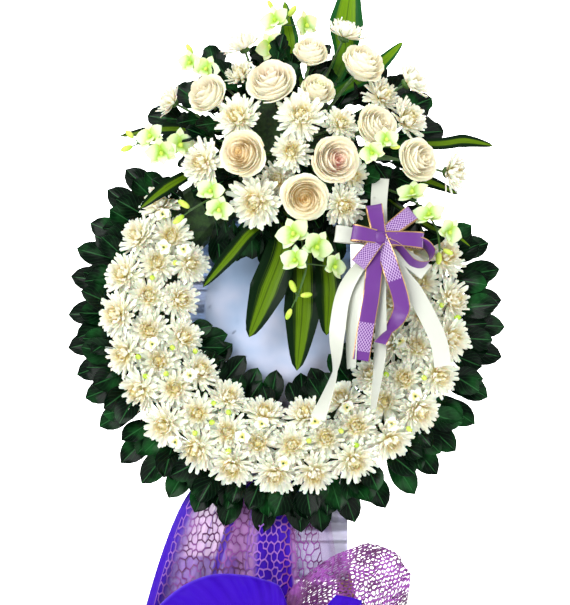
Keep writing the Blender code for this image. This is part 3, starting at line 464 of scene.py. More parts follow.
class Recipe:
    """A material made of nodes; each call adds one node and gives its output."""

    def __init__(self, name, **constants):
        self.material = bpy.data.materials.get(name) or bpy.data.materials.new(name)
        self.material.use_nodes = True
        self.tree = self.material.node_tree
        self.tree.nodes.clear()
        self.shader = self.tree.nodes.new("ShaderNodeBsdfPrincipled")
        output = self.tree.nodes.new("ShaderNodeOutputMaterial")
        self.tree.links.new(self.shader.outputs[0], output.inputs[0])
        self.set(**constants)

    def feed(self, socket, value):
        """Link a value to a socket, or set it there."""
        if isinstance(value, Value):
            self.tree.links.new(value.socket, socket)
        elif hasattr(value, "__len__") and len(value) == 3 and socket.type == "RGBA":
            socket.default_value = (*value, 1.0)
        else:
            socket.default_value = value

    def set(self, **sockets):
        """Feed the shader's sockets, whose names are written with underscores."""
        for socket in self.shader.inputs:
            value = sockets.get(socket.name.lower().replace(" ", "_"))
            if value is not None:
                self.feed(socket, value)

    def node(self, kind, sockets=None, output=0, **settings):
        """Add a node: first its settings, then what its sockets take."""
        made = self.tree.nodes.new(kind)
        for name, value in settings.items():
            setattr(made, name, value)
        for name, value in (sockets or {}).items():
            self.feed(made.inputs[name], value)
        return Value(self, made.outputs[output])

    def place(self):
        """Where a point is on the stand, in metres."""
        return self.node("ShaderNodeTexCoord", output="Object")

    def chart(self):
        """Where a point is along and across its petal, leaf or cloth."""
        return self.node("ShaderNodeUVMap", uv_map="UVMap")

    def split(self, vector):
        """The three parts of a vector."""
        made = self.node("ShaderNodeSeparateXYZ", {0: vector}).socket.node
        return [Value(self, out) for out in made.outputs]

    def join(self, x, y, z=0.0):
        return self.node("ShaderNodeCombineXYZ", {0: x, 1: y, 2: z})

    def noise(self, vector, scale, detail=2.0, roughness=0.5):
        sockets = {"Vector": vector, "Scale": scale, "Detail": detail, "Roughness": roughness}
        return self.node("ShaderNodeTexNoise", sockets)

    def blend(self, factor, first, second, mode="MIX"):
        """Mix two colours."""
        made = self.tree.nodes.new("ShaderNodeMix")
        made.data_type = "RGBA"
        made.blend_type = mode
        self.feed(made.inputs[0], factor)
        self.feed(made.inputs[6], first)
        self.feed(made.inputs[7], second)
        return Value(self, made.outputs[2])

    def bump(self, height, strength, distance):
        return self.node("ShaderNodeBump", {"Height": height, "Strength": strength, "Distance": distance})


# Places

def local(point):
    """Turn (x, up, out) on the wreath into coordinates of its own plane."""
    x, up, out = point
    return Vector((x, -out, up))


def polar(radius, angle, out):
    """A point on the wreath, by its distance and direction from the ring's centre."""
    return Vector((radius * math.cos(angle), -out, radius * math.sin(angle)))


def facing(point, direction, spin=0.0):
    """A frame at a point whose Z axis looks along a direction."""
    turn = direction.to_track_quat("Z", "Y").to_matrix().to_4x4()
    return Matrix.Translation(point) @ turn @ Matrix.Rotation(spin, 4, "Z")


def lying(foot, along, look):
    """A frame at a foot whose Y axis runs along a leaf and whose Z axis is nearest to a direction."""
    ahead = along.normalized()
    side = ahead.cross(look).normalized()
    return Matrix.Translation(foot) @ Matrix((side, ahead, side.cross(ahead))).transposed().to_4x4()


def root(direction):
    """Where a stem in the foam dome ends, and where it comes out."""
    direction = direction.normalized()
    direction.y = min(direction.y, -STEM_FORWARD)
    direction.normalize()
    reach = 1.0 / math.sqrt(sum((direction[i] / DOME[i]) ** 2 for i in range(3)))
    return HEART + direction * (reach * (1 - STEM_DEPTH)), HEART + direction * (reach + MOUTH_LIFT)


def smooth_path(points, steps):
    """Points along a rounded line through a few given ones."""
    path = []
    for i in range(len(points) - 1):
        a = points[max(i - 1, 0)]
        b, c = points[i], points[i + 1]
        d = points[min(i + 2, len(points) - 1)]
        for k in range(steps):
            t = k / steps
            path.append(0.5 * (2 * b + (c - a) * t + (2 * a - 5 * b + 4 * c - d) * t ** 2
                               + (3 * b - a - 3 * c + d) * t ** 3))
    return [*path, points[-1]]


def length_of(points):
    """How long a line through points is."""
    return sum((after - point).length for point, after in zip(points, points[1:]))


def nearest(points, point):
    """Which of some points is nearest to one."""
    return min(points, key=lambda other: (other - point).length)


def between(values, share_along):
    """A value read off a short list that is spread evenly from 0 to 1."""
    spot = min(max(share_along, 0.0), 1.0) * (len(values) - 1)
    i = min(int(spot), len(values) - 2)
    return values[i] + (values[i + 1] - values[i]) * (spot - i)


def bloom_frame(point, front, spin):
    """A bloom's frame: it looks away from the dome's centre and is turned towards the front."""
    look = (point - HEART).normalized() + Vector((0, -front, 0))
    return facing(point, look.normalized(), spin)


def arrangement():
    """Where every head, leaf and bloom sits. One order of random turns, so that every run agrees."""
    rng = random.Random(31)
    plan = {"heads": {}, "leaves": {}, "blooms": {}}
    for sector in range(SECTORS):
        heads = []
        for distance, out, tilt, radius, count, shift in HEAD_ROWS:
            start = RING_START + SECTOR * (sector + shift / count)
            for i in range(count):
                angle = start + SECTOR * (i + 0.5) / count + rng.uniform(-0.012, 0.012)
                lean = tilt + rng.uniform(-0.08, 0.08)
                look = polar(math.sin(lean), angle, math.cos(lean))
                point = polar(distance + rng.uniform(-0.002, 0.002), angle, out + rng.uniform(-0.002, 0.002))
                turned = facing(point, look, rng.uniform(0, TAU))
                heads.append((turned, radius * rng.uniform(0.96, 1.04)))
        plan["heads"][f"ring_mums_{sector + 1}"] = heads
    runs = [(f"outer_leaves_{i + 1}", RING_START + SECTOR * i + 0.02, RING_START + SECTOR * (i + 1) - 0.02,
             RING_OUTER + 0.0036, 0.015, OUTER_LEAVES, 1) for i in range(SECTORS)]
    for name, start, end in (("inner_leaves_left", 190, 268), ("inner_leaves_right", 272, 350)):
        runs.append((name, math.radians(start), math.radians(end), RING_INNER - 0.0041, 0.020, INNER_LEAVES, -1))
    for name, start, end, ring, out, layers, inward in runs:
        twig = [polar(ring, start + (end - start) * i / 4, out) for i in range(5)]
        leaves = []
        for count, length, width, rise, lift in layers:
            for i in range(count):
                angle = start + (end - start) * (i + 0.5) / count + rng.uniform(-0.010, 0.010)
                climb = math.radians(rise + rng.uniform(-1.5, 1.5))
                away = polar(math.cos(climb) * inward, angle + rng.uniform(-0.10, 0.10), math.sin(climb))
                foot = polar(ring, angle, out + lift)
                reach = length * rng.uniform(0.94, 1.03)
                roll = polar(0, 0, 1) + polar(rng.uniform(-0.10, 0.10), angle + TAU / 4, 0)
                leaves.append((foot, away, roll.normalized(), reach, width))
        plan["leaves"][name] = (twig, leaves)
    for name, (*place, radius, _) in ROSES.items():
        plan["blooms"][name] = [(bloom_frame(local(place), TOWARDS_FRONT, rng.uniform(0, TAU)), radius)]
    for name, heads in SPRAY_MUMS.items():
        plan["blooms"][name] = []
        for *place, radius in heads:
            point = local(place)
            front = TOWARDS_FRONT if (point - HEART).length < RIM_REACH else RIM_FRONT
            plan["blooms"][name].append((bloom_frame(point, front, rng.uniform(0, TAU)), radius))
    return plan


# Small shapes, copied into pieces

def closed_blade(columns, rows, place, thick, chart=None, look=0):
    """A thin blade over a grid; place gives a point for s from -1 to 1 across and t from foot to tip."""
    bm = bmesh.new()
    layer = bm.loops.layers.uv.new("UVMap")
    bmesh.ops.create_grid(bm, x_segments=columns, y_segments=rows, size=1.0)
    for face in bm.faces:
        face.material_index = look
        for loop in face.loops:
            s, t = loop.vert.co.x, loop.vert.co.y / 2 + 0.5
            loop[layer].uv = chart(s, t) if chart else (s / 2 + 0.5, t)
    for vert in bm.verts:
        vert.co = place(vert.co.x, vert.co.y / 2 + 0.5)
    bmesh.ops.solidify(bm, geom=bm.faces[:], thickness=thick)
    bmesh.ops.recalc_face_normals(bm, faces=bm.faces[:])
    return kept(bm)


def kept(bm):
    """Turn a bmesh into a mesh for copying."""
    mesh = bpy.data.meshes.new("small_shape")
    bm.to_mesh(mesh)
    bm.free()
    return mesh


def ball(stretch, segments=8, rings=6, look=0):
    """A small rounded body, stretched along its axes."""
    bm = bmesh.new()
    bm.loops.layers.uv.new("UVMap")
    bmesh.ops.create_uvsphere(bm, u_segments=segments, v_segments=rings, radius=1.0, calc_uvs=True)
    bmesh.ops.scale(bm, vec=stretch, verts=bm.verts[:])
    for face in bm.faces:
        face.material_index = look
    return kept(bm)


def stem_mesh(points, radius, look=0):
    """A six-sided stem along points, with closed ends."""
    curve = bpy.data.curves.new("stem", "CURVE")
    curve.dimensions = "3D"
    curve.bevel_depth = radius
    curve.bevel_resolution = 1
    curve.use_fill_caps = True
    spline = curve.splines.new("POLY")
    spline.points.add(len(points) - 1)
    for spot, point in zip(spline.points, points):
        spot.co = (*point, 1.0)
    guide = bpy.data.objects.new("stem", curve)
    bpy.context.scene.collection.objects.link(guide)
    graph = bpy.context.evaluated_depsgraph_get()
    mesh = bpy.data.meshes.new_from_object(guide.evaluated_get(graph))
    bpy.data.objects.remove(guide)
    bpy.data.curves.remove(curve)
    bm = bmesh.new()
    bm.from_mesh(mesh)
    bpy.data.meshes.remove(mesh)
    bmesh.ops.remove_doubles(bm, verts=bm.verts[:], dist=1e-6)
    bmesh.ops.recalc_face_normals(bm, faces=bm.faces[:])
    for face in bm.faces:
        face.material_index = look
    return kept(bm)


class Piece:
    """One finished piece, gathered from copies of small shapes."""

    def __init__(self):
        self.bm = bmesh.new()

    def take(self, mesh, matrix=None):
        """Use up a small shape, moved by a matrix."""
        if matrix is not None:
            mesh.transform(matrix)
        self.bm.from_mesh(mesh)
        bpy.data.meshes.remove(mesh)

    def copy(self, mesh, matrix):
        """Copy in a small shape that more pieces need, moved by a matrix."""
        self.take(mesh.copy(), matrix)

    def stem(self, points, radius, look=1):
        """Run a stem through points."""
        self.take(stem_mesh(points, radius, look))

    def show(self, name, looks, node):
        """Lean the piece with the wreath and make it an object that stands for its node."""
        old = bpy.data.objects.get(name)
        if old:
            bpy.data.objects.remove(old)
        mesh = bpy.data.meshes.new(name)
        self.bm.transform(WREATH)
        self.bm.to_mesh(mesh)
        self.bm.free()
        for look in looks:
            mesh.materials.append(look)
        mesh.shade_smooth()
        mesh.set_sharp_from_angle(angle=SHARP)
        obj = bpy.data.objects.new(name, mesh)
        bpy.context.scene.collection.objects.link(obj)
        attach(obj, "root")
        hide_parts(node)
        return obj


# Blooms

def mum_petal(length, width, rise, bend, rows, thick):
    """A strap petal that leaves the heart at a rise and bends up to a rounded tip."""
    low, turn = math.radians(rise), math.radians(bend)

    def place(s, t):
        angle = low + turn * t * t / 2
        half = width / 2 * min(1.0, 0.42 + 0.95 * t)
        run = length * t
        if t > 0.9:
            half *= 0.76
            run -= 0.070 * abs(s)
        return Vector((0.05 + run * math.cos(angle), s * half, run * math.sin(angle) + 0.45 * half * s * s))

    def chart(s, t):
        return 0.05 + length * t * math.cos(low), s / 2 + 0.5

    return closed_blade(2, rows, place, thick, chart)


def mum_head(seed, thick, closed=0.0):
    """A whole head of radius 1, looking along +Z, on a green cup."""
    rng = random.Random(seed)
    piece = Piece()
    for layer, (count, length, width, rise, bend, rows) in enumerate(MUM_LAYERS):
        rise += closed * (1 - layer / len(MUM_LAYERS))
        petals = [mum_petal(length, width, rise, bend + extra, rows, thick) for extra in (-14, 0, 16)]
        for i in range(count):
            angle = TAU * (i + 0.5 * (layer % 2)) / count + rng.uniform(-0.12, 0.12)
            lift = Matrix.Rotation(-math.radians(rng.uniform(-9, 9)), 4, "Y")
            roll = Matrix.Rotation(rng.uniform(-0.28, 0.28), 4, "X")
            seat = Matrix.Translation((0, 0, -0.16 + 0.025 * layer))
            size = Matrix.Scale(rng.uniform(0.84, 1.06), 4)
            piece.copy(rng.choice(petals), Matrix.Rotation(angle, 4, "Z") @ seat @ lift @ roll @ size)
        for petal in petals:
            bpy.data.meshes.remove(petal)
    piece.take(ball((0.20, 0.20, 0.16), 10, 6), Matrix.Translation((0, 0, 0.10)))
    piece.take(ball((0.26, 0.26, 0.16), 10, 6, look=1), Matrix.Translation((0, 0, -0.22)))
    return kept(piece.bm)


def rose_petal(bulge, rim, top, half_turn, phase, rng):
    """One rose petal: it swells from the base to its bulge, and its rounded rim flares out or closes in."""
    wave, reach, lift = rng.uniform(0, TAU), rim * rng.uniform(0.94, 1.06), rng.uniform(-0.04, 0.04)
    points = ((0.10, -0.64), (1.05 * bulge, -0.66), (bulge, 0.45 * top - 0.10), (reach, top + lift))

    def place(s, t):
        along = t * (1 - 0.21 * s * s * t)
        back = 1 - along
        weights = (back ** 3, 3 * back * back * along, 3 * back * along * along, along ** 3)
        radius = sum(weight * point[0] for weight, point in zip(weights, points))
        up = sum(weight * point[1] for weight, point in zip(weights, points))
        edge = max(0.0, (t - 0.72) / 0.28) ** 2
        ripple = 0.06 * (1 - abs(s)) + 0.025 * math.sin(3.0 * s + wave)
        radius += edge * 0.045 + edge * rim * ripple - 0.08 * rim * s
        up += edge * (0.05 * math.sin(2.6 * s - wave) - 0.16 * max(0.0, reach - bulge))
        angle = phase + s * half_turn * TAU * (0.62 + 0.38 * math.sin(math.pi * min(1.0, along * 0.8)))
        return Vector((radius * math.cos(angle), radius * math.sin(angle), up))

    return place


def rose_bloom(seed, thick):
    """A whole rose of radius 1 on its sepals, looking along +Z."""
    rng = random.Random(seed)
    piece = Piece()
    phase = rng.uniform(0, TAU)
    for layer, (count, bulge, rim, top, half_turn) in enumerate(ROSE_LAYERS):
        tone = 1 - layer / (len(ROSE_LAYERS) - 1)
        phase += 1.15
        for i in range(count):
            turn = phase + TAU * i / count + rng.uniform(-0.14, 0.14)
            place = rose_petal(bulge, rim, top, half_turn, turn, rng)
            blade = closed_blade(8, 7, place, thick, lambda s, t: (0.62 * tone + 0.38 * t, s / 2 + 0.5))
            piece.take(blade)
    piece.take(ball((0.30, 0.30, 0.30), 12, 8), Matrix.Translation((0, 0, -0.34)))

    def sepal(s, t):
        half = s * 0.13 * math.sin(math.pi * (0.2 + 0.8 * t))
        return Vector((0.10 + 0.62 * t, half, -0.66 - 0.10 * t + 0.2 * t * t))

    for i in range(5):
        blade = closed_blade(2, 4, sepal, thick * 1.5, look=1)
        piece.take(blade, Matrix.Rotation(TAU * (i + 0.5) / 5, 4, "Z"))
    piece.take(ball((0.24, 0.24, 0.18), 10, 6, look=1), Matrix.Translation((0, 0, -0.72)))
    return kept(piece.bm)


def orchid_part(turn, reach, width, cup, thick):
    """One petal of an orchid, which runs out from the middle in a direction."""

    def place(s, t):
        half = width / 2 * math.sin(math.pi * min(1.0, 0.06 + 0.94 * t ** 0.8)) ** 0.7
        return Vector((reach * t, s * half, cup * t * t + 0.14 * half * s * s + 0.02 * math.sin(4 * s)))

    blade = closed_blade(4, 5, place, thick, lambda s, t: (t, s / 2 + 0.5))
    return blade, Matrix.Rotation(math.radians(turn), 4, "Z")


def orchid_floret(thick):
    """An open orchid floret of radius 1: three sepals, two broad petals, and a lip round its column."""
    piece = Piece()
    parts = ((90, 0.98, 0.66, 0.16, 0.0), (212, 0.94, 0.62, 0.10, 0.0), (328, 0.94, 0.62, 0.10, 0.0),
             (18, 1.0, 1.05, 0.20, 0.03), (162, 1.0, 1.05, 0.20, 0.03), (270, 0.62, 0.60, 0.38, 0.08))
    for turn, reach, width, cup, up in parts:
        blade, matrix = orchid_part(turn, reach, width, cup, thick)
        piece.take(blade, Matrix.Translation((0, 0, up)) @ matrix)
    piece.take(ball((0.13, 0.15, 0.18), 8, 6, look=1), Matrix.Translation((0, 0.0, 0.14)))
    return kept(piece.bm)


# Leaves

def leaf_shape(kind, thick):
    """A leaf of length 1 and width 1 along +Y, its upper side towards +Z; kinds from 10 on are lobed."""
    rng = random.Random(kind)
    droop, fold, phase = rng.uniform(0.04, 0.16), rng.uniform(0.10, 0.26), rng.uniform(0, TAU)
    lobes = 0.34 if kind >= 10 else 0.0

    def place(s, t):
        half = 0.5 * max(0.05 * (1 - t), math.sin(math.pi * t ** 1.55) ** 0.70 if 0 < t < 1 else 0.0)
        half *= 1 + lobes * (2 * abs((t * 4.2) % 1 - 0.5) - 0.6)
        up = fold * abs(s) * half * 0.6 - droop * t * t + 0.035 * math.sin(5 * t + phase) * abs(s)
        return Vector((s * half, t, up))

    return closed_blade(6, 20 if lobes else 10, place, thick)


def long_leaf(points, width, thick, shares):
    """A long leaf along points, channelled, facing the front."""
    path = smooth_path(points, 6)
    last = len(path) - 1

    def place(s, t):
        i = min(int(t * last + 0.5), last)
        along = (path[min(i + 1, last)] - path[max(i - 1, 0)]).normalized()
        side = along.cross(Vector((0, -1, 0))).normalized()
        up = side.cross(along).normalized()
        half = max(between((*shares, 0.0), t) ** 0.68 * width / 2, 0.0003)
        return path[i] + side * half * s + up * (0.16 * half * abs(s) - 0.02 * half)

    return closed_blade(6, last, place, thick)


# Cloth and ribbon

def in_hole(x, up):
    """How far inside the ring's hole a point is, from 0 at its edge to 1 in the middle."""
    return max(0.0, 1.0 - (x * x + up * up) / HOLE_REACH ** 2)


def backing(s, t):
    """The pale cloth: flat behind the ring, softly folded in its hole, hanging straight below it."""
    up = 0.160 - 0.560 * t
    narrow = min(1.0, max(0.0, (-up - 0.10) / 0.20))
    left, right = -0.150 + 0.060 * narrow, 0.100 - 0.008 * narrow
    x = left + (right - left) * s
    swell = 0.5 + 0.5 * math.sin(26 * x - 18 * up)
    out = CLEAR + 0.011 * in_hole(x, up) * swell
    out += 0.0012 * in_hole(x, up) * (1 + math.sin(44 * x - 12 * up + 2 * math.sin(16 * up)))
    return local((x, up, out))


def skirt_edges(t):
    """Where the skirt's left and right edges are across the stand, from its top to its hem."""
    return -0.120 - 0.175 * t ** 0.55, 0.062 + 0.208 * t ** 1.6


def skirt_point(s, t, left, right, lift):
    """The gathered cloth under the ring, which widens to the left and, lower down, to the right."""
    up = SKIRT_UP[0] + (SKIRT_UP[1] - SKIRT_UP[0]) * t
    edge_left, edge_right = skirt_edges(t)
    across = left + (right - left) * s
    x = edge_left + (edge_right - edge_left) * across
    fold = 0.5 - 0.5 * math.cos(TAU * SKIRT_FOLDS * across + 1.5 * math.sin(5 * t + 3 * across))
    depth = 0.004 + (SKIRT_DEPTH - 0.004) * min(1.0, max(0.0, t - 0.10) / 0.3)
    return local((x, up, lift + depth * fold))


def fan(spec, start, root_out, folds):
    """A puffed loop of cloth round the knot: out along its length, over a lip and back behind."""
    knot_x, knot_up = SASH_KNOT
    low, high, lengths, puff = spec

    def place(s, t):
        angle = math.radians(low + (high - low) * s)
        length = between(lengths, s)
        body = max(0.0, math.sin(math.pi * t))
        reach = start + (length - start) * body ** 0.75
        behind = root_out + 0.004 * body
        out = behind + (0.5 + 0.5 * math.cos(math.pi * t)) * (0.014 + 2 * puff * body ** 0.5)
        out += 0.0035 * body * math.sin(folds * angle)
        out += 0.0016 * body * math.sin(47 * angle + 3 * math.sin(6 * t))
        return local((knot_x + reach * math.cos(angle), knot_up + reach * math.sin(angle), out))

    return place


def cloth_shape(columns, rows, place, thick, flat):
    """A cloth over a grid whose chart is in metres of the flat cloth."""
    return closed_blade(columns, rows, lambda s, t: place(s / 2 + 0.5, 1 - t), thick,
                        lambda s, t: ((s / 2 + 0.5) * flat[0], (1 - t) * flat[1]))


def net_threads(cell, span, outline, place, thread, thick, seed):
    """A crackle net in metres, cut to its outline: uneven many-sided cells, with the threads left between."""
    rng = random.Random(seed)
    columns, rows = round(span[0] / cell[0]), round(span[1] / cell[1])
    grid = bmesh.new()
    bmesh.ops.create_grid(grid, x_segments=columns, y_segments=rows, size=1.0)
    for vert in grid.verts:
        row = round((vert.co.y / 2 + 0.5) * rows)
        x = vert.co.x / 2 + 0.5 + (0.5 * (row % 2) + rng.uniform(-NET_JITTER, NET_JITTER)) / columns
        y = vert.co.y / 2 + 0.5 + rng.uniform(-NET_JITTER, NET_JITTER) / rows
        vert.co = Vector((x * span[0], min(max(y, 0.0), 1.0) * span[1], 0.0))
    bmesh.ops.triangulate(grid, faces=grid.faces[:], quad_method="SHORT_EDGE")
    grid.faces.index_update()
    bm = bmesh.new()
    layer = bm.loops.layers.uv.new("UVMap")
    dots = [bm.verts.new(face.calc_center_median()) for face in grid.faces]
    for vert in grid.verts:
        if not vert.is_boundary:
            spokes = [(face.calc_center_median() - vert.co, face.index) for face in vert.link_faces]
            spokes.sort(key=lambda spoke: math.atan2(spoke[0].y, spoke[0].x))
            bm.faces.new([dots[index] for _, index in spokes])
    grid.free()
    bmesh.ops.delete(bm, geom=[vert for vert in bm.verts if not vert.link_faces], context="VERTS")
    edges = [edge for edge in bm.edges if not edge.is_boundary]
    rng.shuffle(edges)
    gone, taken = [], set()
    for edge in edges:
        pair = set(edge.link_faces)
        if not pair & taken and rng.random() < NET_MERGE:
            gone.append(edge)
            taken |= pair
    bmesh.ops.dissolve_edges(bm, edges=gone, use_verts=False)
    for vert in bm.verts:
        low, high = outline(1 - vert.co.y / span[1])
        vert.co.x = min(max(vert.co.x, low), high)
    bmesh.ops.remove_doubles(bm, verts=bm.verts[:], dist=NET_WELD)
    slivers = [face for face in bm.faces if face.calc_area() < NET_SLIVER * cell[0] * cell[1]]
    bmesh.ops.delete(bm, geom=slivers, context="FACES")
    inner = bm.faces[:]
    bmesh.ops.inset_individual(bm, faces=inner, thickness=thread * NET_INSET, use_even_offset=False)
    bmesh.ops.delete(bm, geom=inner, context="FACES_ONLY")
    for vert in bm.verts:
        t = 1 - vert.co.y / span[1]
        low, high = outline(t)
        s = min(max((vert.co.x - low) / (high - low), 0.0), 1.0)
        for loop in vert.link_loops:
            loop[layer].uv = (s, t)
        vert.co = place(s, min(max(t, 0.0), 1.0))
    bmesh.ops.solidify(bm, geom=bm.faces[:], thickness=thick)
    bmesh.ops.recalc_face_normals(bm, faces=bm.faces[:])
    return kept(bm)


def strip(points, width, thick, across=None, pinch=1.0, chart_start=0.0, twists=(0, 0), hatched=(2, 2)):
    """A ribbon along points, pinched at its ends and twisted by degrees along it; its chart is in metres."""
    last = len(points) - 1
    run = length_of(points)

    def place(s, t):
        i = min(int(t * last + 0.5), last)
        along = (points[min(i + 1, last)] - points[max(i - 1, 0)]).normalized()
        side = across or along.cross(Vector((0, -1, 0))).normalized()
        side = Matrix.Rotation(math.radians(between(twists, t)), 3, along) @ side
        up = side.cross(along).normalized()
        narrow = pinch + (1 - pinch) * math.sin(math.pi * t)
        half = width / 2 * narrow
        crease = 0.0022 * (1 - narrow) * math.cos(3 * math.pi * s)
        return points[i] + side * half * s + up * (crease - 0.0006 * s * s)

    mesh = closed_blade(6, last, place, thick, lambda s, t: (s / 2 + 0.5, chart_start + t * run))
    chart = mesh.uv_layers[0].data
    for face in mesh.polygons:
        t = (chart[face.loop_start].uv[1] - chart_start) / run
        if hatched[0] <= t <= hatched[1]:
            face.material_index = 1
    return mesh, run


def loop_points(centre, angle, length, swell):
    """A bow's loop: forwards along its direction, round its end and back under itself."""
    away = local((math.cos(math.radians(angle)), math.sin(math.radians(angle)), 0))
    points = []
    for i in range(LOOP_STEPS + 1):
        turn = math.pi * i / LOOP_STEPS
        points.append(centre + away * (BOW_START + (length - BOW_START) * math.sin(turn))
                      + Vector((0, -1, 0)) * swell * math.cos(turn) * (0.30 + 0.70 * math.sin(turn)))
    return points


def block(centre, half, deep):
    """A soft knot round a point on the wreath."""
    bm = bmesh.new()
    bm.loops.layers.uv.new("UVMap")
    x, up, out = centre
    matrix = Matrix.Translation((x, -out, up)) @ Matrix.Diagonal((2 * half, 2 * deep, 2 * half, 1.0))
    bmesh.ops.create_cube(bm, size=1.0, matrix=matrix, calc_uvs=True)
    bmesh.ops.bevel(bm, geom=bm.edges[:] + bm.verts[:], offset=min(half, deep) * 0.7, offset_type="OFFSET",
                    segments=3, profile=0.5, affect="EDGES", material=-1)
    return kept(bm)


# Finishes

def toned(colour, share_of):
    """A colour made darker or lighter by a share."""
    return tuple(share_of * part for part in colour)


def petal_look(name, heart, tip, low, high, gloss=0.55, painted_glow=0.0):
    """Petals that pass from their heart's colour to their tip's, with faint streaks along them.

    The last argument sets the strength of a painted glow: the petals give off light of their own, heart-coloured
    where they take the heart's colour, which lightens their shaded inside.
    """
    recipe = Recipe(name, roughness=gloss, ior=1.4, sheen_weight=0.15, sheen_roughness=0.6)
    recipe.shader.inputs["Subsurface Weight"].default_value = 0.3
    recipe.shader.inputs["Subsurface Scale"].default_value = 0.004
    radial, across, _ = recipe.split(recipe.chart())
    blotch = recipe.noise(recipe.place(), 60.0, 2.0)
    streak = recipe.noise(recipe.join(radial * 2.0, across * 9.0), 3.0, 2.0)
    share_out = (radial + (blotch - 0.5) * 0.35).step(low, high)
    base = recipe.blend(share_out, heart, tip)
    shade = recipe.blend((streak - 0.5) * 0.3 + 0.06, base, toned(heart, 0.86), "MULTIPLY")
    recipe.set(base_color=shade, normal=recipe.bump(streak, 0.25, 0.0006))
    # Painted glow: the petals give off light of their own, heart-coloured at the heart and dimmer towards the tips,
    # to lighten their shaded inside.
    if painted_glow:
        light = recipe.blend(share_out, heart, toned(tip, 0.5))
        recipe.set(emission_color=light, emission_strength=painted_glow)
    return recipe.material


def leaf_look(name, dark, light, gloss):
    """Glossy leaves with a pale midrib, side veins and uneven greens; the lighter patches are partly painted
    highlights.
    """
    recipe = Recipe(name, ior=1.45, specular_ior_level=0.04, coat_weight=0.12, coat_roughness=0.16)
    across, along, _ = recipe.split(recipe.chart())
    from_rib = abs(across - 0.5)
    rib = 1 - from_rib.step(0.012, 0.040)
    veins = ((along * 7.0 - from_rib * 6.0) * TAU).sine()
    vein = veins.step(0.86, 1.0) * 0.6
    blotch = recipe.noise(recipe.place(), 22.0, 3.0)
    # Lighter patches: uneven greens that also stand in for highlights, as painted highlight.
    base = recipe.blend(blotch.step(0.48, 0.80), dark, light)
    base = recipe.blend((rib * 0.45).most(vein * 0.16), base, tuple(min(1.0, 2.2 * part + 0.02) for part in light))
    height = (rib * -1.0) + vein * -0.5 + blotch * 0.6
    recipe.set(base_color=base, roughness=blotch * 0.22 + gloss,
               normal=recipe.bump(height, 0.5, 0.0012))
    return recipe.material


def stripe_look(name, dark, light, wide):
    """Long leaves with a yellow-green middle band and fine streaks along them."""
    recipe = Recipe(name, ior=1.45, specular_ior_level=0.05, coat_weight=0.1, coat_roughness=0.2)
    across, along, _ = recipe.split(recipe.chart())
    streak = recipe.noise(recipe.join(across * 26.0, along * 1.2), 1.0, 3.0, 0.6)
    fine = recipe.noise(recipe.join(across * 90.0, along * 2.0), 1.0, 2.0)
    from_rib = abs(across - 0.46) + (streak - 0.5) * 0.42
    band = 1 - from_rib.step(wide - 0.05, wide + 0.05)
    rib = 1 - abs(across - 0.5).step(0.008, 0.028)
    # Painted shade: the band grows darker towards the leaf's foot, which lies under the blooms.
    painted_base_shade = along.step(0.10, 0.62) * 0.72 + 0.28
    base = recipe.blend(band * (fine * 0.9 + 0.42) * painted_base_shade, dark, light)
    base = recipe.blend(rib * 0.5, base, toned(dark, 0.45))
    recipe.set(base_color=base, roughness=fine * 0.20 + 0.26, normal=recipe.bump(fine - rib, 0.45, 0.0010))
    return recipe.material


def plain_look(name, first, second, scale, roughness, bump=0.3, depth=0.001, **constants):
    """A surface of two close colours in soft patches."""
    recipe = Recipe(name, **constants)
    patch = recipe.noise(recipe.place(), scale, 4.0, 0.6)
    recipe.set(base_color=recipe.blend(patch.step(0.35, 0.65), first, second), roughness=patch * 0.2 + roughness,
               normal=recipe.bump(patch, bump, depth))
    return recipe.material


def wood_look():
    """Planed battens with long grain."""
    recipe = Recipe("stand_timber", ior=1.45)
    x, y, z = recipe.split(recipe.place())
    grain = recipe.noise(recipe.join(x * 90.0, y * 90.0, z * 5.0), 1.0, 5.0, 0.6)
    rings = ((recipe.noise(recipe.join(x * 14.0, y * 14.0, z * 1.4), 1.0, 2.0) * 46.0).sine() * 0.5) + 0.5
    dark, light, ring = TIMBER
    base = recipe.blend(grain.step(0.30, 0.75), dark, light)
    base = recipe.blend(rings * 0.35, base, ring)
    recipe.set(base_color=base, roughness=grain * 0.25 + 0.5, normal=recipe.bump(grain + rings * 0.3, 0.35, 0.0008))
    return recipe.material


def weave(u, v):
    """The height of organza's plain weave, from the chart in metres."""
    return (u * (TAU / ORGANZA_PITCH)).sine() * (v * (TAU / ORGANZA_PITCH)).sine()


def backing_look(settings):
    """Soft pale cloth that passes from blue to lavender."""
    recipe = Recipe("backing_cloth_weave", sheen_weight=0.3, sheen_roughness=0.5)
    u, v, _ = recipe.split(recipe.chart())
    patch = recipe.noise(recipe.place(), 9.0, 3.0)
    fibre = recipe.noise(recipe.join(u * 2400.0, v * 2400.0), 1.0, 3.0)
    base = recipe.blend((patch + v * 1.2 - 0.12).step(0.45, 0.85), settings.pale, settings.lavender)
    base = recipe.blend(fibre * 0.25, base, toned(settings.pale, 0.8), "MULTIPLY")
    recipe.set(base_color=base, roughness=fibre * 0.15 + 0.72, normal=recipe.bump(fibre, 0.2, 0.0003))
    return recipe.material


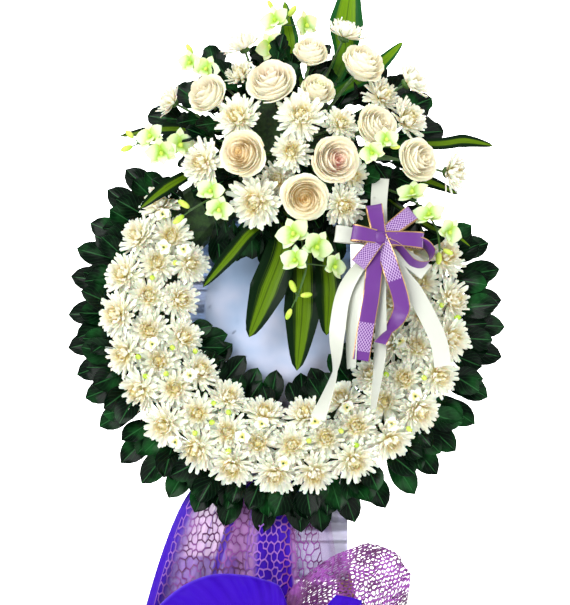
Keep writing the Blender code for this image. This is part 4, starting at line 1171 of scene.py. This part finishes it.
def organza_look(settings):
    """Sheer organza: lilac where it lies single, violet in its folds, deep in its middle panel."""
    recipe = Recipe("organza_sheer", ior=1.35, specular_ior_level=0.2)
    u, v, _ = recipe.split(recipe.chart())
    across = u * (1 / 0.90)
    fold = recipe.noise(recipe.join(u * 26.0, v * 1.6), 1.0, 2.0)
    fine = recipe.noise(recipe.join(u * 240.0, v * 6.0), 1.0, 2.0)
    panel = across.step(0.52, 0.56) * (1 - across.step(0.735, 0.76))
    edge = 1 - across.step(0.05, 0.16)
    crease = 1 - abs(across + v * 0.63 - 0.41).step(0.014, 0.034)
    second = v.step(0.114, 0.119) * (1 - v.step(0.16, 0.26)) * (1 - across.step(0.42, 0.46))
    deep = (fold.step(0.56, 0.66) * 0.6).most(panel).most(edge).most(crease * 0.9).most(second * 0.5)
    base = recipe.blend(deep, settings.sheer, settings.organza)
    base = recipe.blend(fine * 0.3, base, settings.flounce)
    beyond = across.step(0.76, 0.79) * (1 - v.step(0.16, 0.30))
    alpha = ((deep * 0.26 + 0.68) + (fine - 0.5) * 0.25) * (1 - beyond * 0.85)
    recipe.set(base_color=base, alpha=alpha, roughness=fine * 0.2 + 0.42,
               normal=recipe.bump(weave(u, v), 0.12, 0.0003))
    return recipe.material


def flounce_look(settings):
    """The violet organza bow, lighter where its lip catches the light."""
    recipe = Recipe("organza_bow", ior=1.35, specular_ior_level=0.15)
    u, v, _ = recipe.split(recipe.chart())
    fine = recipe.noise(recipe.join(u * 120.0, v * 8.0), 1.0, 2.0)
    soft = recipe.noise(recipe.place(), 14.0, 2.0)
    base = recipe.blend(soft.step(0.35, 0.7) * 0.55, settings.flounce, settings.organza)
    # Painted highlight along the lip, where it catches the light
    lip = 1 - abs(v - 0.21).step(0.010, 0.042)
    base = recipe.blend(lip * 0.7, base, settings.flounce_lip_highlight)
    recipe.set(base_color=base, alpha=fine * 0.12 + 0.84, roughness=fine * 0.2 + 0.38,
               normal=recipe.bump(weave(u, v) * 0.4 + fine, 0.2, 0.0005))
    return recipe.material


def net_look(name, settings):
    """Net threads, plum and mauve in patches, paler where the deep panel lies behind them."""
    recipe = Recipe(name, sheen_weight=0.1, roughness=0.5)
    across, _, _ = recipe.split(recipe.chart())
    patch = recipe.noise(recipe.place(), 22.0, 3.0)
    base = recipe.blend(patch.step(0.40, 0.62), settings.thread_dark, settings.thread)
    if name == "net_skirt":
        panel = across.step(0.50, 0.54) * (1 - across.step(0.72, 0.76))
        edge = 1 - across.step(0.02, 0.12)
        base = recipe.blend(panel.most(edge) * 0.6, base, settings.thread_pale)
    recipe.set(base_color=base, normal=recipe.bump(patch, 0.2, 0.0004))
    return recipe.material


def ribbon_look(settings, hatched=False):
    """Purple ribbon with thin metallic edges and a fine cross rib, or with a pale woven hatch."""
    recipe = Recipe("ribbon_hatched" if hatched else "ribbon_purple", coat_weight=0.1, sheen_weight=0.1)
    across, along, _ = recipe.split(recipe.chart())
    gold = abs(across - 0.5).step(0.440, 0.456)
    rib = (along * (TAU / RIB_PITCH)).sine()
    sheen = recipe.noise(recipe.place(), 40.0, 2.0)
    base = recipe.blend(sheen * 0.5, settings.ribbon, toned(settings.ribbon, 0.62))
    if hatched:
        first = ((across * 0.025 + along) * (TAU / HATCH_PITCH)).sine()
        second = ((across * -0.025 + along) * (TAU / HATCH_PITCH)).sine()
        base = recipe.blend(first.most(second).step(0.62, 0.90) * 0.85, base, HATCH)
    base = recipe.blend(gold, base, settings.gold)
    recipe.set(base_color=base, metallic=gold * 0.8, roughness=(0.40 - gold * 0.1) + (sheen - 0.5) * 0.15,
               normal=recipe.bump(rib * 0.5 + gold, 0.18, 0.0003))
    return recipe.material


def satin_look(settings):
    """White satin with soft lengthwise shine."""
    recipe = Recipe("ribbon_satin", coat_weight=0.2, coat_roughness=0.3, sheen_weight=0.3)
    across, along, _ = recipe.split(recipe.chart())
    thread = recipe.noise(recipe.join(across * 60.0, along * 40.0), 1.0, 2.0)
    base = recipe.blend(thread * 0.4, settings.satin, toned(settings.satin, 0.86))
    recipe.set(base_color=base, roughness=thread * 0.2 + 0.26, normal=recipe.bump(thread, 0.15, 0.0003))
    return recipe.material


# Operators

class StandOperator:
    """What every operator of the stand shares."""
    bl_options = {"REGISTER", "UNDO"}

    def settings(self, context):
        group = context.scene.flower_stand
        return group.blooms, group.leaves, group.cloth, group.stage


class FLOWER_OT_frame(StandOperator, bpy.types.Operator):
    """Give the battens, the tray and the foam their wood, plastic and moss"""
    bl_idname = "flower_stand.frame"
    bl_label = "Stand Frame"

    def execute(self, context):
        wood = wood_look()
        for name in ("front_leg_left", "front_leg_right", "upright", "cross_bar", "rear_leg"):
            dress_node(name, wood)
        dress_node("ring_tray", plain_look("tray_plastic", *TRAY, 40.0, 0.32))
        moss = plain_look("foam_moss", *MOSS, 90.0, 0.75, 0.8, 0.004)
        dress_node("ring_foam", moss)
        dress_node("spray_foam", moss)
        return {"FINISHED"}


def dress_node(name, look):
    """Give a solid of the frame a material."""
    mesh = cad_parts[name].data
    mesh.materials.clear()
    mesh.materials.append(look)


class FLOWER_OT_mums(StandOperator, bpy.types.Operator):
    """Make the chrysanthemum heads of the ring and of the spray"""
    bl_idname = "flower_stand.mums"
    bl_label = "Chrysanthemums"

    def execute(self, context):
        blooms, leaves, _, _ = self.settings(context)
        looks = [petal_look("mum_petals", blooms.mum_heart, blooms.mum_tip, 0.08, 0.58),
                 stem_look(leaves),
                 plain_look("ring_buds", blooms.orchid_lime, blooms.bud_lime, 60.0, 0.42)]
        plan = arrangement()
        thick = blooms.petal_thickness / 0.032
        heads = [mum_head(seed, thick) for seed in range(5)]
        shut = [mum_head(seed, thick, closed=24) for seed in range(5, 7)]
        floret = orchid_floret(blooms.petal_thickness / 0.014)
        bud = ball((0.0042, 0.0042, 0.0058), 8, 6, look=2)
        rng = random.Random(7)
        for name, places in plan["heads"].items():
            piece = Piece()
            for turned, radius in places:
                piece.copy(rng.choice(heads), turned @ Matrix.Scale(radius * blooms.head_spread, 4))
            self.tuck(piece, places, floret, bud, rng)
            piece.show(f"{name}_petals", looks, name)
        for name, places in SPRAY_MUMS.items():
            piece = Piece()
            points = [local(place[:3]) for place in places]
            end, mouth = root(sum(points, Vector()) / len(points) - HEART)
            piece.stem([end, mouth], STEM_RADIUS)
            fork = end.lerp(mouth, FORK)
            for (turned, radius), point in zip(plan["blooms"][name], points):
                side_on = point.z > HEART.z + 0.10 or abs(point.x) > 0.17
                head = rng.choice(shut if side_on else heads)
                piece.copy(head, turned @ Matrix.Scale(radius * blooms.head_spread, 4))
                under = turned @ Vector((0, 0, -radius * 0.3))
                piece.stem([fork, under], STEM_RADIUS * 0.8)
            piece.show(f"{name}_petals", looks[:2], name)
        for mesh in [*heads, *shut, floret, bud]:
            bpy.data.meshes.remove(mesh)
        return {"FINISHED"}

    def tuck(self, piece, places, floret, bud, rng):
        """Lime buds and a few broad white florets between the heads of a sector."""
        for i in range(RING_BUDS):
            first, radius = rng.choice(places)
            others = sorted((place for place, _ in places if place is not first),
                            key=lambda place: (place.translation - first.translation).length)
            second = others[rng.randrange(2)]
            look = (first.col[2].xyz + second.col[2].xyz).normalized()
            point = (first.translation + second.translation) / 2 + look * radius * 0.34
            if i % 5 == 0:
                point += look * radius * 0.16
                piece.copy(floret, facing(point, look, rng.uniform(0, TAU)) @ Matrix.Scale(0.0125, 4))
            else:
                tilt = Vector((rng.uniform(-0.5, 0.5), 0, rng.uniform(-0.7, 0.3)))
                piece.copy(bud, facing(point, (look + tilt).normalized()))


class FLOWER_OT_roses(StandOperator, bpy.types.Operator):
    """Make the ten roses on their stems"""
    bl_idname = "flower_stand.roses"
    bl_label = "Roses"

    def execute(self, context):
        blooms, leaves, _, _ = self.settings(context)
        green = stem_look(leaves)
        plan = arrangement()
        for seed, (name, (*place, radius, heart)) in enumerate(ROSES.items()):
            spread = 0.90 if heart in ("yellow", "gold") else 0.62
            look = petal_look(f"rose_{heart}_petals", getattr(blooms, f"rose_{heart}"), blooms.rose_outer,
                              0.06, spread, painted_glow=PAINTED_PETAL_GLOW)
            turned, _ = plan["blooms"][name][0]
            centre = local(place)
            end, _ = root(centre - HEART)
            along = (centre - end).normalized()
            stem = [end, centre - along * (1.15 * radius), turned @ Vector((0, 0, -0.72 * radius))]
            piece = Piece()
            piece.take(rose_bloom(seed, blooms.petal_thickness / radius), turned @ Matrix.Scale(radius, 4))
            piece.stem(stem, STEM_RADIUS)
            piece.show(f"{name}_petals", [look, green], name)
        return {"FINISHED"}


class FLOWER_OT_orchids(StandOperator, bpy.types.Operator):
    """Make the orchid sprays with their florets and buds"""
    bl_idname = "flower_stand.orchids"
    bl_label = "Orchids"

    def execute(self, context):
        blooms, leaves, _, _ = self.settings(context)
        looks = [petal_look("orchid_petals", blooms.orchid_lime, blooms.orchid_white, 0.05, 0.72, 0.45),
                 plain_look("orchid_buds", blooms.orchid_lime, blooms.bud_lime, 50.0, 0.42),
                 stem_look(leaves)]
        floret = orchid_floret(blooms.petal_thickness / 0.02)
        bud = ball((0.27, 0.27, 0.56), 10, 8, look=1)
        rng = random.Random(5)
        for name, (stem, florets, buds) in ORCHIDS.items():
            points = [local(point) for point in stem]
            end, mouth = root(points[0] - HEART)
            path = [end, mouth, *points]
            feet = [point.lerp(before, 0.15) for before, point in zip(path[1:], path[2:])]
            piece = Piece()
            piece.stem([end, *smooth_path(path[1:], 5)], STEM_RADIUS * 0.7, look=2)
            for *place, radius in florets:
                point = local(place)
                foot = nearest(feet, point)
                look = ((point - foot).normalized() + Vector((0, -0.8, 0))).normalized()
                spread = Matrix.Scale(radius * FLORET_SPREAD, 4)
                piece.copy(floret, facing(point, look, rng.uniform(-0.5, 0.5)) @ spread)
                piece.stem([foot, point], 0.0010, look=2)
            for *place, length in buds:
                point = local(place)
                foot = nearest(feet, point)
                piece.copy(bud, facing(point, (point - foot).normalized()) @ Matrix.Scale(length, 4))
                piece.stem([foot, point], 0.0010, look=2)
            piece.show(f"{name}_florets", looks, name)
        bpy.data.meshes.remove(floret)
        bpy.data.meshes.remove(bud)
        return {"FINISHED"}


class FLOWER_OT_leaves(StandOperator, bpy.types.Operator):
    """Make the leaves round the ring, and the long leaves and dark filling leaves of the spray"""
    bl_idname = "flower_stand.leaves"
    bl_label = "Leaves"

    def execute(self, context):
        _, leaves, _, _ = self.settings(context)
        green = stem_look(leaves)
        broad = leaf_look("leaf_glossy", leaves.leaf_dark, leaves.leaf_light, 0.24)
        toothed = leaf_look("leaf_toothed", leaves.leaf_dark, leaves.leaf_light, 0.34)
        self.shapes = [leaf_shape(kind, leaves.leaf_thickness / 0.07) for kind in range(4)]
        self.teeth = [leaf_shape(kind, leaves.leaf_thickness / 0.05) for kind in (10, 11, 12)]
        self.rng = random.Random(3)
        self.blooms = [rose[:4] for rose in ROSES.values()]
        self.blooms += [head for heads in SPRAY_MUMS.values() for head in heads]
        for name, (twig, run) in arrangement()["leaves"].items():
            piece = Piece()
            piece.stem(smooth_path(twig, 3), 0.0020)
            for foot, away, roll, reach, width in run:
                self.put(piece, self.shapes, foot, away * reach * LEAF_REACH, width * LEAF_SPREAD, roll)
            inward = -1 if name.startswith("inner") else 1
            for i in range(leaves.extra_leaves):
                self.more(piece, twig, (i + 0.5) / leaves.extra_leaves, inward)
            piece.show(f"{name}_blades", [broad, green], name)
        for name, group in LONG_LEAVES.items():
            end, mouth = root(polar(1.0, math.radians(STALKS[name]), 0.0))
            fork = end.lerp(mouth, FORK)
            piece = Piece()
            piece.stem([end, mouth], STEM_RADIUS)
            if name.startswith("filler"):
                self.fill(piece, fork, group, -1 if name == "filler_left" else 1)
                piece.show(f"{name}_blades", [toothed, green], name)
                continue
            for points, width in group:
                path = [fork, *[local(point) for point in points]]
                piece.take(long_leaf(path, width, leaves.leaf_thickness, BLADE_SHARES[len(points)]))
            if name == "dracaena_top":
                look = stripe_look("leaf_limed", leaves.leaf_light, toned(leaves.stripe_light, 1.5), 0.30)
            else:
                look = stripe_look("leaf_striped", leaves.stripe_dark, leaves.stripe_light, 0.22)
            piece.show(f"{name}_blades", [look, green], name)
        for mesh in self.shapes + self.teeth:
            bpy.data.meshes.remove(mesh)
        return {"FINISHED"}

    def put(self, piece, shapes, foot, run, width, look):
        """One leaf from its foot along a run, its upper side towards a direction."""
        spread = Matrix.Diagonal((width, run.length, run.length, 1.0))
        piece.copy(self.rng.choice(shapes), lying(foot, run, look) @ spread)

    def more(self, piece, twig, share_along, inward):
        """A leaf that grows off the twig between the others, a little above them."""
        rng = self.rng
        foot = between(twig, share_along + rng.uniform(-0.03, 0.03)) + Vector((0, -rng.uniform(0.002, 0.014), 0))
        away = Vector((foot.x, 0, foot.z)).normalized() * inward
        turned = Matrix.Rotation(rng.uniform(-0.55, 0.55), 3, "Y") @ away
        rise = math.radians(rng.uniform(4, 30))
        run = turned * math.cos(rise) + Vector((0, -math.sin(rise), 0))
        look = Vector((rng.uniform(-0.5, 0.5), -1, rng.uniform(-0.5, 0.5)))
        reach = rng.uniform(0.052, 0.074) if inward > 0 else rng.uniform(0.044, 0.058)
        self.put(piece, self.shapes, foot, run * reach, reach * rng.uniform(0.52, 0.60), look)

    def fill(self, piece, fork, group, side):
        """The dark leaves of one side of the spray: long-stalked ones, then those that fill the gaps."""
        rng = self.rng
        for points, width in group:
            foot = fork.lerp(local(points[0]), 0.55)
            tip = local(points[-1])
            self.put(piece, self.teeth, foot, tip - foot, width * 1.15, Vector((0, -1, 0)))
            piece.stem([fork, foot.lerp(tip, 0.1)], 0.0012)
        for i in range(FILL_LEAVES):
            angle = i * FILL_TURN
            reach = math.sqrt((i + 0.5) / FILL_LEAVES)
            ahead = Vector((math.cos(angle), 0, math.sin(angle)))
            foot = local(FILL_CENTRE) + Vector((ahead.x * FILL_HALF[0], 0, ahead.z * FILL_HALF[1])) * reach
            foot.y = -(0.050 + 0.042 * (1 - reach * reach) + rng.uniform(0, 0.014))
            self.sprig(piece, foot, ahead, side)
        for low, high, count in FILL_ARCS:
            for i in range(count):
                angle = math.radians(low + (high - low) * (i + 0.5) / count)
                foot = polar(rng.uniform(0.176, 0.232), angle, rng.uniform(0.046, 0.056))
                self.sprig(piece, foot, polar(1.0, angle, 0.0), side)
        count, across, high, out = HOLE_LEAVES
        for i in range(count):
            x = across[0] + (across[1] - across[0]) * (i + 0.5) / count
            foot = local((x, high[0], out[0] + 0.003 * (i % 3)))
            tip = local((x * 0.94 + rng.uniform(-0.012, 0.012), high[1] + rng.uniform(-0.008, 0.010), out[1]))
            if x * side > 0:
                self.put(piece, self.shapes, foot, tip - foot, 0.038, Vector((rng.uniform(-0.5, 0.5), -1, 0)))

    def sprig(self, piece, foot, ahead, side):
        """A filling leaf that points away from the middle and stays under the blooms, on this side."""
        rng = self.rng
        turned = Matrix.Rotation(rng.uniform(-0.75, 0.75), 3, "Y") @ ahead
        rise = math.radians(rng.uniform(12, 48))
        reach, wide = rng.uniform(0.046, 0.064), rng.uniform(0.50, 0.62)
        look = Vector((rng.uniform(-0.6, 0.6), -1, rng.uniform(-0.6, 0.6)))
        if (foot.x - FILL_CENTRE[0]) * side < 0:
            return
        tip = foot + turned * reach
        over = [out for x, up, out, radius in self.blooms if math.hypot(tip.x - x, tip.z - up) < radius + 0.016]
        if over and -foot.y + reach * math.sin(rise) > min(over) - 0.034:
            foot.y = max(foot.y, 0.040 - min(over))
            rise = math.radians(4)
        run = turned * math.cos(rise) + Vector((0, -math.sin(rise), 0))
        self.put(piece, self.teeth, foot, run * reach, reach * wide, look)


def stem_look(leaves):
    """Green stems, cups and sepals."""
    return plain_look("stem_green", leaves.stem, toned(leaves.stem, 0.55), 120.0, 0.4)


class FLOWER_OT_cloth(StandOperator, bpy.types.Operator):
    """Hang the backing cloth and the skirt, and tie the two bows of cloth"""
    bl_idname = "flower_stand.cloth"
    bl_label = "Cloth"

    def execute(self, context):
        _, _, cloth, _ = self.settings(context)
        thick = cloth.cloth_thickness
        piece = Piece()
        piece.take(cloth_shape(60, 100, backing, thick, (0.25, 0.57)))
        obj = piece.show("backing_cloth_weave", [backing_look(cloth)], "backing_cloth")
        piece = Piece()
        piece.take(cloth_shape(168, 40, lambda s, t: skirt_point(s, t, 0.0, 1.0, SKIRT_BACK), thick, (0.90, 0.68)))
        obj = piece.show("organza_skirt_folds", [organza_look(cloth)], "organza_skirt")
        piece = Piece()
        piece.take(skirt_net(cloth))
        obj = piece.show("skirt_net_threads", [net_look("net_skirt", cloth)], "skirt_net")
        x, up = SASH_KNOT
        inside = SASH_BACK + 0.004
        middle = (PEAK_OUT + 0.012 + inside) / 2
        piece = Piece()
        piece.take(block((x, up, SASH_BACK + 0.0115), SASH_HALF, 0.0115))
        piece.take(block((x, up, middle), SASH_HALF - 0.006, middle - inside))
        piece.take(cloth_shape(88, 44, fan(VIOLET_FAN, 0.012, inside, 14), thick, (0.30, 0.42)))
        piece.take(cloth_shape(30, 50, fan(VIOLET_PEAK, 0.006, PEAK_OUT, 10), thick, (0.07, 0.30)))
        obj = piece.show("violet_bow_folds", [flounce_look(cloth)], "violet_bow")
        piece = Piece()
        piece.take(block((x + SASH_HALF + CLEAR + 0.007, up, inside + 0.008), 0.007, 0.010))
        piece.take(bow_net(cloth, inside))
        obj = piece.show("net_bow_threads", [net_look("net_bow_threads", cloth)], "net_bow")
        return {"FINISHED"}


def skirt_net(cloth):
    """The net over the skirt, which stops a little inside the skirt's edges."""
    left, right = 1 / (SKIRT_FOLDS * 4), 1 - 1 / (SKIRT_FOLDS * 2)

    def outline(t):
        edge_left, edge_right = skirt_edges(min(max(t, 0.0), 1.0))
        half = 0.575 * (right - left) * (edge_right - edge_left)
        return 0.285 - half, 0.285 + half

    return net_threads((cloth.net_cell, cloth.net_cell * 1.3), (0.57, 0.68), outline,
                       lambda s, t: skirt_point(s, t, left, right, SKIRT_BACK + NET_LIFT),
                       cloth.net_thread, cloth.net_thickness, 11)


def bow_net(cloth, inside):
    """The net bow's loop, whose cells keep their length round its lip."""
    loop = fan(NET_FAN, 0.026, inside, 17)
    swing = math.radians(NET_FAN[1] - NET_FAN[0])

    def outline(t):
        half = swing / 2 * (0.026 + 0.170 * (1 - abs(1 - 2 * min(max(t, 0.0), 1.0))))
        return 0.12 - half, 0.12 + half

    def even(s, t):
        turn = math.asin((1 - abs(1 - 2 * t)) ** (4 / 3)) / math.pi
        return loop(s, turn if t < 0.5 else 1 - turn)

    return net_threads((cloth.bow_cell, cloth.bow_cell * 1.1), (0.24, 0.40), outline, even,
                       cloth.net_thread * 0.9, cloth.net_thickness, 12)


class FLOWER_OT_ribbons(StandOperator, bpy.types.Operator):
    """Tie the purple ribbon and the white satin ribbon"""
    bl_idname = "flower_stand.ribbons"
    bl_label = "Ribbons"

    def execute(self, context):
        _, _, cloth, _ = self.settings(context)
        width = cloth.ribbon_width
        piece = Piece()
        piece.take(block(BOW, 0.009, 0.0085))
        total = self.tie(piece, BOW, PURPLE_LOOPS, PURPLE_TAILS, PURPLE_TWISTS, PURPLE_HATCHES,
                         (0.009, width))
        path = smooth_path([local(point) for point in THIN_LOOP], 8)
        mesh, run = strip(path, width, RIBBON, Vector((0.30, -0.90, 0.30)).normalized(), 0.5, total)
        piece.take(mesh)
        obj = piece.show("purple_ribbon_weave", [ribbon_look(cloth), ribbon_look(cloth, True)],
                         "purple_ribbon")
        round(total + run, 2)
        piece = Piece()
        piece.take(block(WHITE_BACK, 0.012, 0.0027))
        total = self.tie(piece, WHITE_BACK, WHITE_LOOPS, WHITE_TAILS, WHITE_TWISTS, [PLAIN] * len(WHITE_TAILS),
                         (0.006, width))
        piece.stem([local(WHITE_BACK), local(PICK_FOOT)], 0.0018, look=0)
        obj = piece.show("white_ribbon_satin", [satin_look(cloth)], "white_ribbon")
        return {"FINISHED"}

    def tie(self, piece, centre, loops, tails, twists, hatches, form):
        """A bow's loops and tails, cut from one length of ribbon."""
        swell, width = form
        total = 0.0
        for i, (angle, length, hatched) in enumerate(loops):
            across = local((-math.sin(math.radians(angle)), math.cos(math.radians(angle)), 0))
            points = loop_points(local(centre) + Vector((0, -0.0008 * i, 0)), angle, length, swell)
            mesh, run = strip(points, width, RIBBON, across, 0.80, total, hatched=hatched)
            piece.take(mesh)
            total += run
        for tail, turns, hatched in zip(tails, twists, hatches):
            path = smooth_path([local(point) for point in tail], 10)
            mesh, run = strip(path, width, RIBBON, None, 1.0, total, turns, hatched)
            piece.take(mesh)
            total += run
        return total


class FLOWER_OT_stage(StandOperator, bpy.types.Operator):
    """Set the floor, the light and the camera"""
    bl_idname = "flower_stand.stage"
    bl_label = "Stage"

    def execute(self, context):
        _, _, _, stage = self.settings(context)
        bm = bmesh.new()
        bmesh.ops.create_grid(bm, x_segments=2, y_segments=60, size=1.0)
        for vert in bm.verts:
            run = (vert.co.y + 1) * FLOOR_RUN / 2
            turn = min(max(run - FLOOR_FLAT, 0.0) / FLOOR_CURVE, TAU / 4)
            wall = max(run - FLOOR_FLAT - FLOOR_CURVE * TAU / 4, 0.0)
            ahead = min(run, FLOOR_FLAT) - FLOOR_FRONT + FLOOR_CURVE * math.sin(turn)
            vert.co = Vector((vert.co.x * FLOOR_HALF, ahead, FLOOR_CURVE * (1 - math.cos(turn)) + wall))
        mesh = bpy.data.meshes.new("studio_floor")
        bm.to_mesh(mesh)
        bm.free()
        mesh.shade_smooth()
        mesh.materials.append(plain_look("studio_paper", (0.90, 0.90, 0.90), (0.92, 0.92, 0.92), 2.0, 0.8, 0.0,
                                         emission_color=(1.0, 1.0, 1.0), emission_strength=PAPER_GLOW))
        floor = bpy.data.objects.new("studio_floor", mesh)
        context.scene.collection.objects.link(floor)
        for name, place, aim, wide, power in LAMPS:
            light = bpy.data.lights.new(name, "AREA")
            light.size = wide
            light.energy = power * stage.brightness
            lamp = bpy.data.objects.new(name, light)
            lamp.location = place
            lamp.rotation_euler = (Vector(aim) - Vector(place)).to_track_quat("-Z", "Y").to_euler()
            context.scene.collection.objects.link(lamp)
        world = bpy.data.worlds.new("studio_world")
        world.use_nodes = True
        background = world.node_tree.nodes["Background"]
        background.inputs[0].default_value = (1.0, 1.0, 1.0, 1.0)
        background.inputs[1].default_value = SKY_GLOW * stage.brightness
        context.scene.world = world
        camera = bpy.data.cameras.new("camera")
        camera.lens = stage.lens
        camera.sensor_width = 36.0
        camera.clip_end = 60.0
        viewer = bpy.data.objects.new("camera", camera)
        viewer.location = (stage.camera_side, -stage.camera_distance, stage.camera_height)
        viewer.rotation_euler = (math.radians(90), 0, 0)
        context.scene.collection.objects.link(viewer)
        context.scene.camera = viewer
        context.scene.view_settings.view_transform = "Standard"
        return {"FINISHED"}


class StandSettings(bpy.types.PropertyGroup):
    """All settings of the flower stand."""
    blooms: PointerProperty(type=BloomSettings)
    leaves: PointerProperty(type=LeafSettings)
    cloth: PointerProperty(type=ClothSettings)
    stage: PointerProperty(type=StageSettings)


OPERATORS = (FLOWER_OT_frame, FLOWER_OT_mums, FLOWER_OT_roses, FLOWER_OT_orchids, FLOWER_OT_leaves,
             FLOWER_OT_cloth, FLOWER_OT_ribbons, FLOWER_OT_stage)


class FLOWER_PT_panel(bpy.types.Panel):
    """The flower stand's operators and settings"""
    bl_label = "Flower Stand"
    bl_idname = "FLOWER_PT_panel"
    bl_space_type = "VIEW_3D"
    bl_region_type = "UI"
    bl_category = "Flower Stand"

    def draw(self, context):
        layout = self.layout
        for operator in OPERATORS:
            layout.operator(operator.bl_idname)
        stand = context.scene.flower_stand
        for group in (stand.blooms, stand.leaves, stand.cloth, stand.stage):
            column = layout.column(align=True)
            for name in group.bl_rna.properties.keys():
                if name not in {"rna_type", "name"}:
                    column.prop(group, name)


CLASSES = (BloomSettings, LeafSettings, ClothSettings, StageSettings, StandSettings, *OPERATORS, FLOWER_PT_panel)


def register():
    for cls in CLASSES:
        bpy.utils.register_class(cls)
    bpy.types.Scene.flower_stand = PointerProperty(type=StandSettings)


def unregister():
    del bpy.types.Scene.flower_stand
    for cls in reversed(CLASSES):
        bpy.utils.unregister_class(cls)


def main():
    register()
    for operator in OPERATORS:
        group, name = operator.bl_idname.split(".")
        getattr(getattr(bpy.ops, group), name)()


if __name__ == "__main__":
    main()
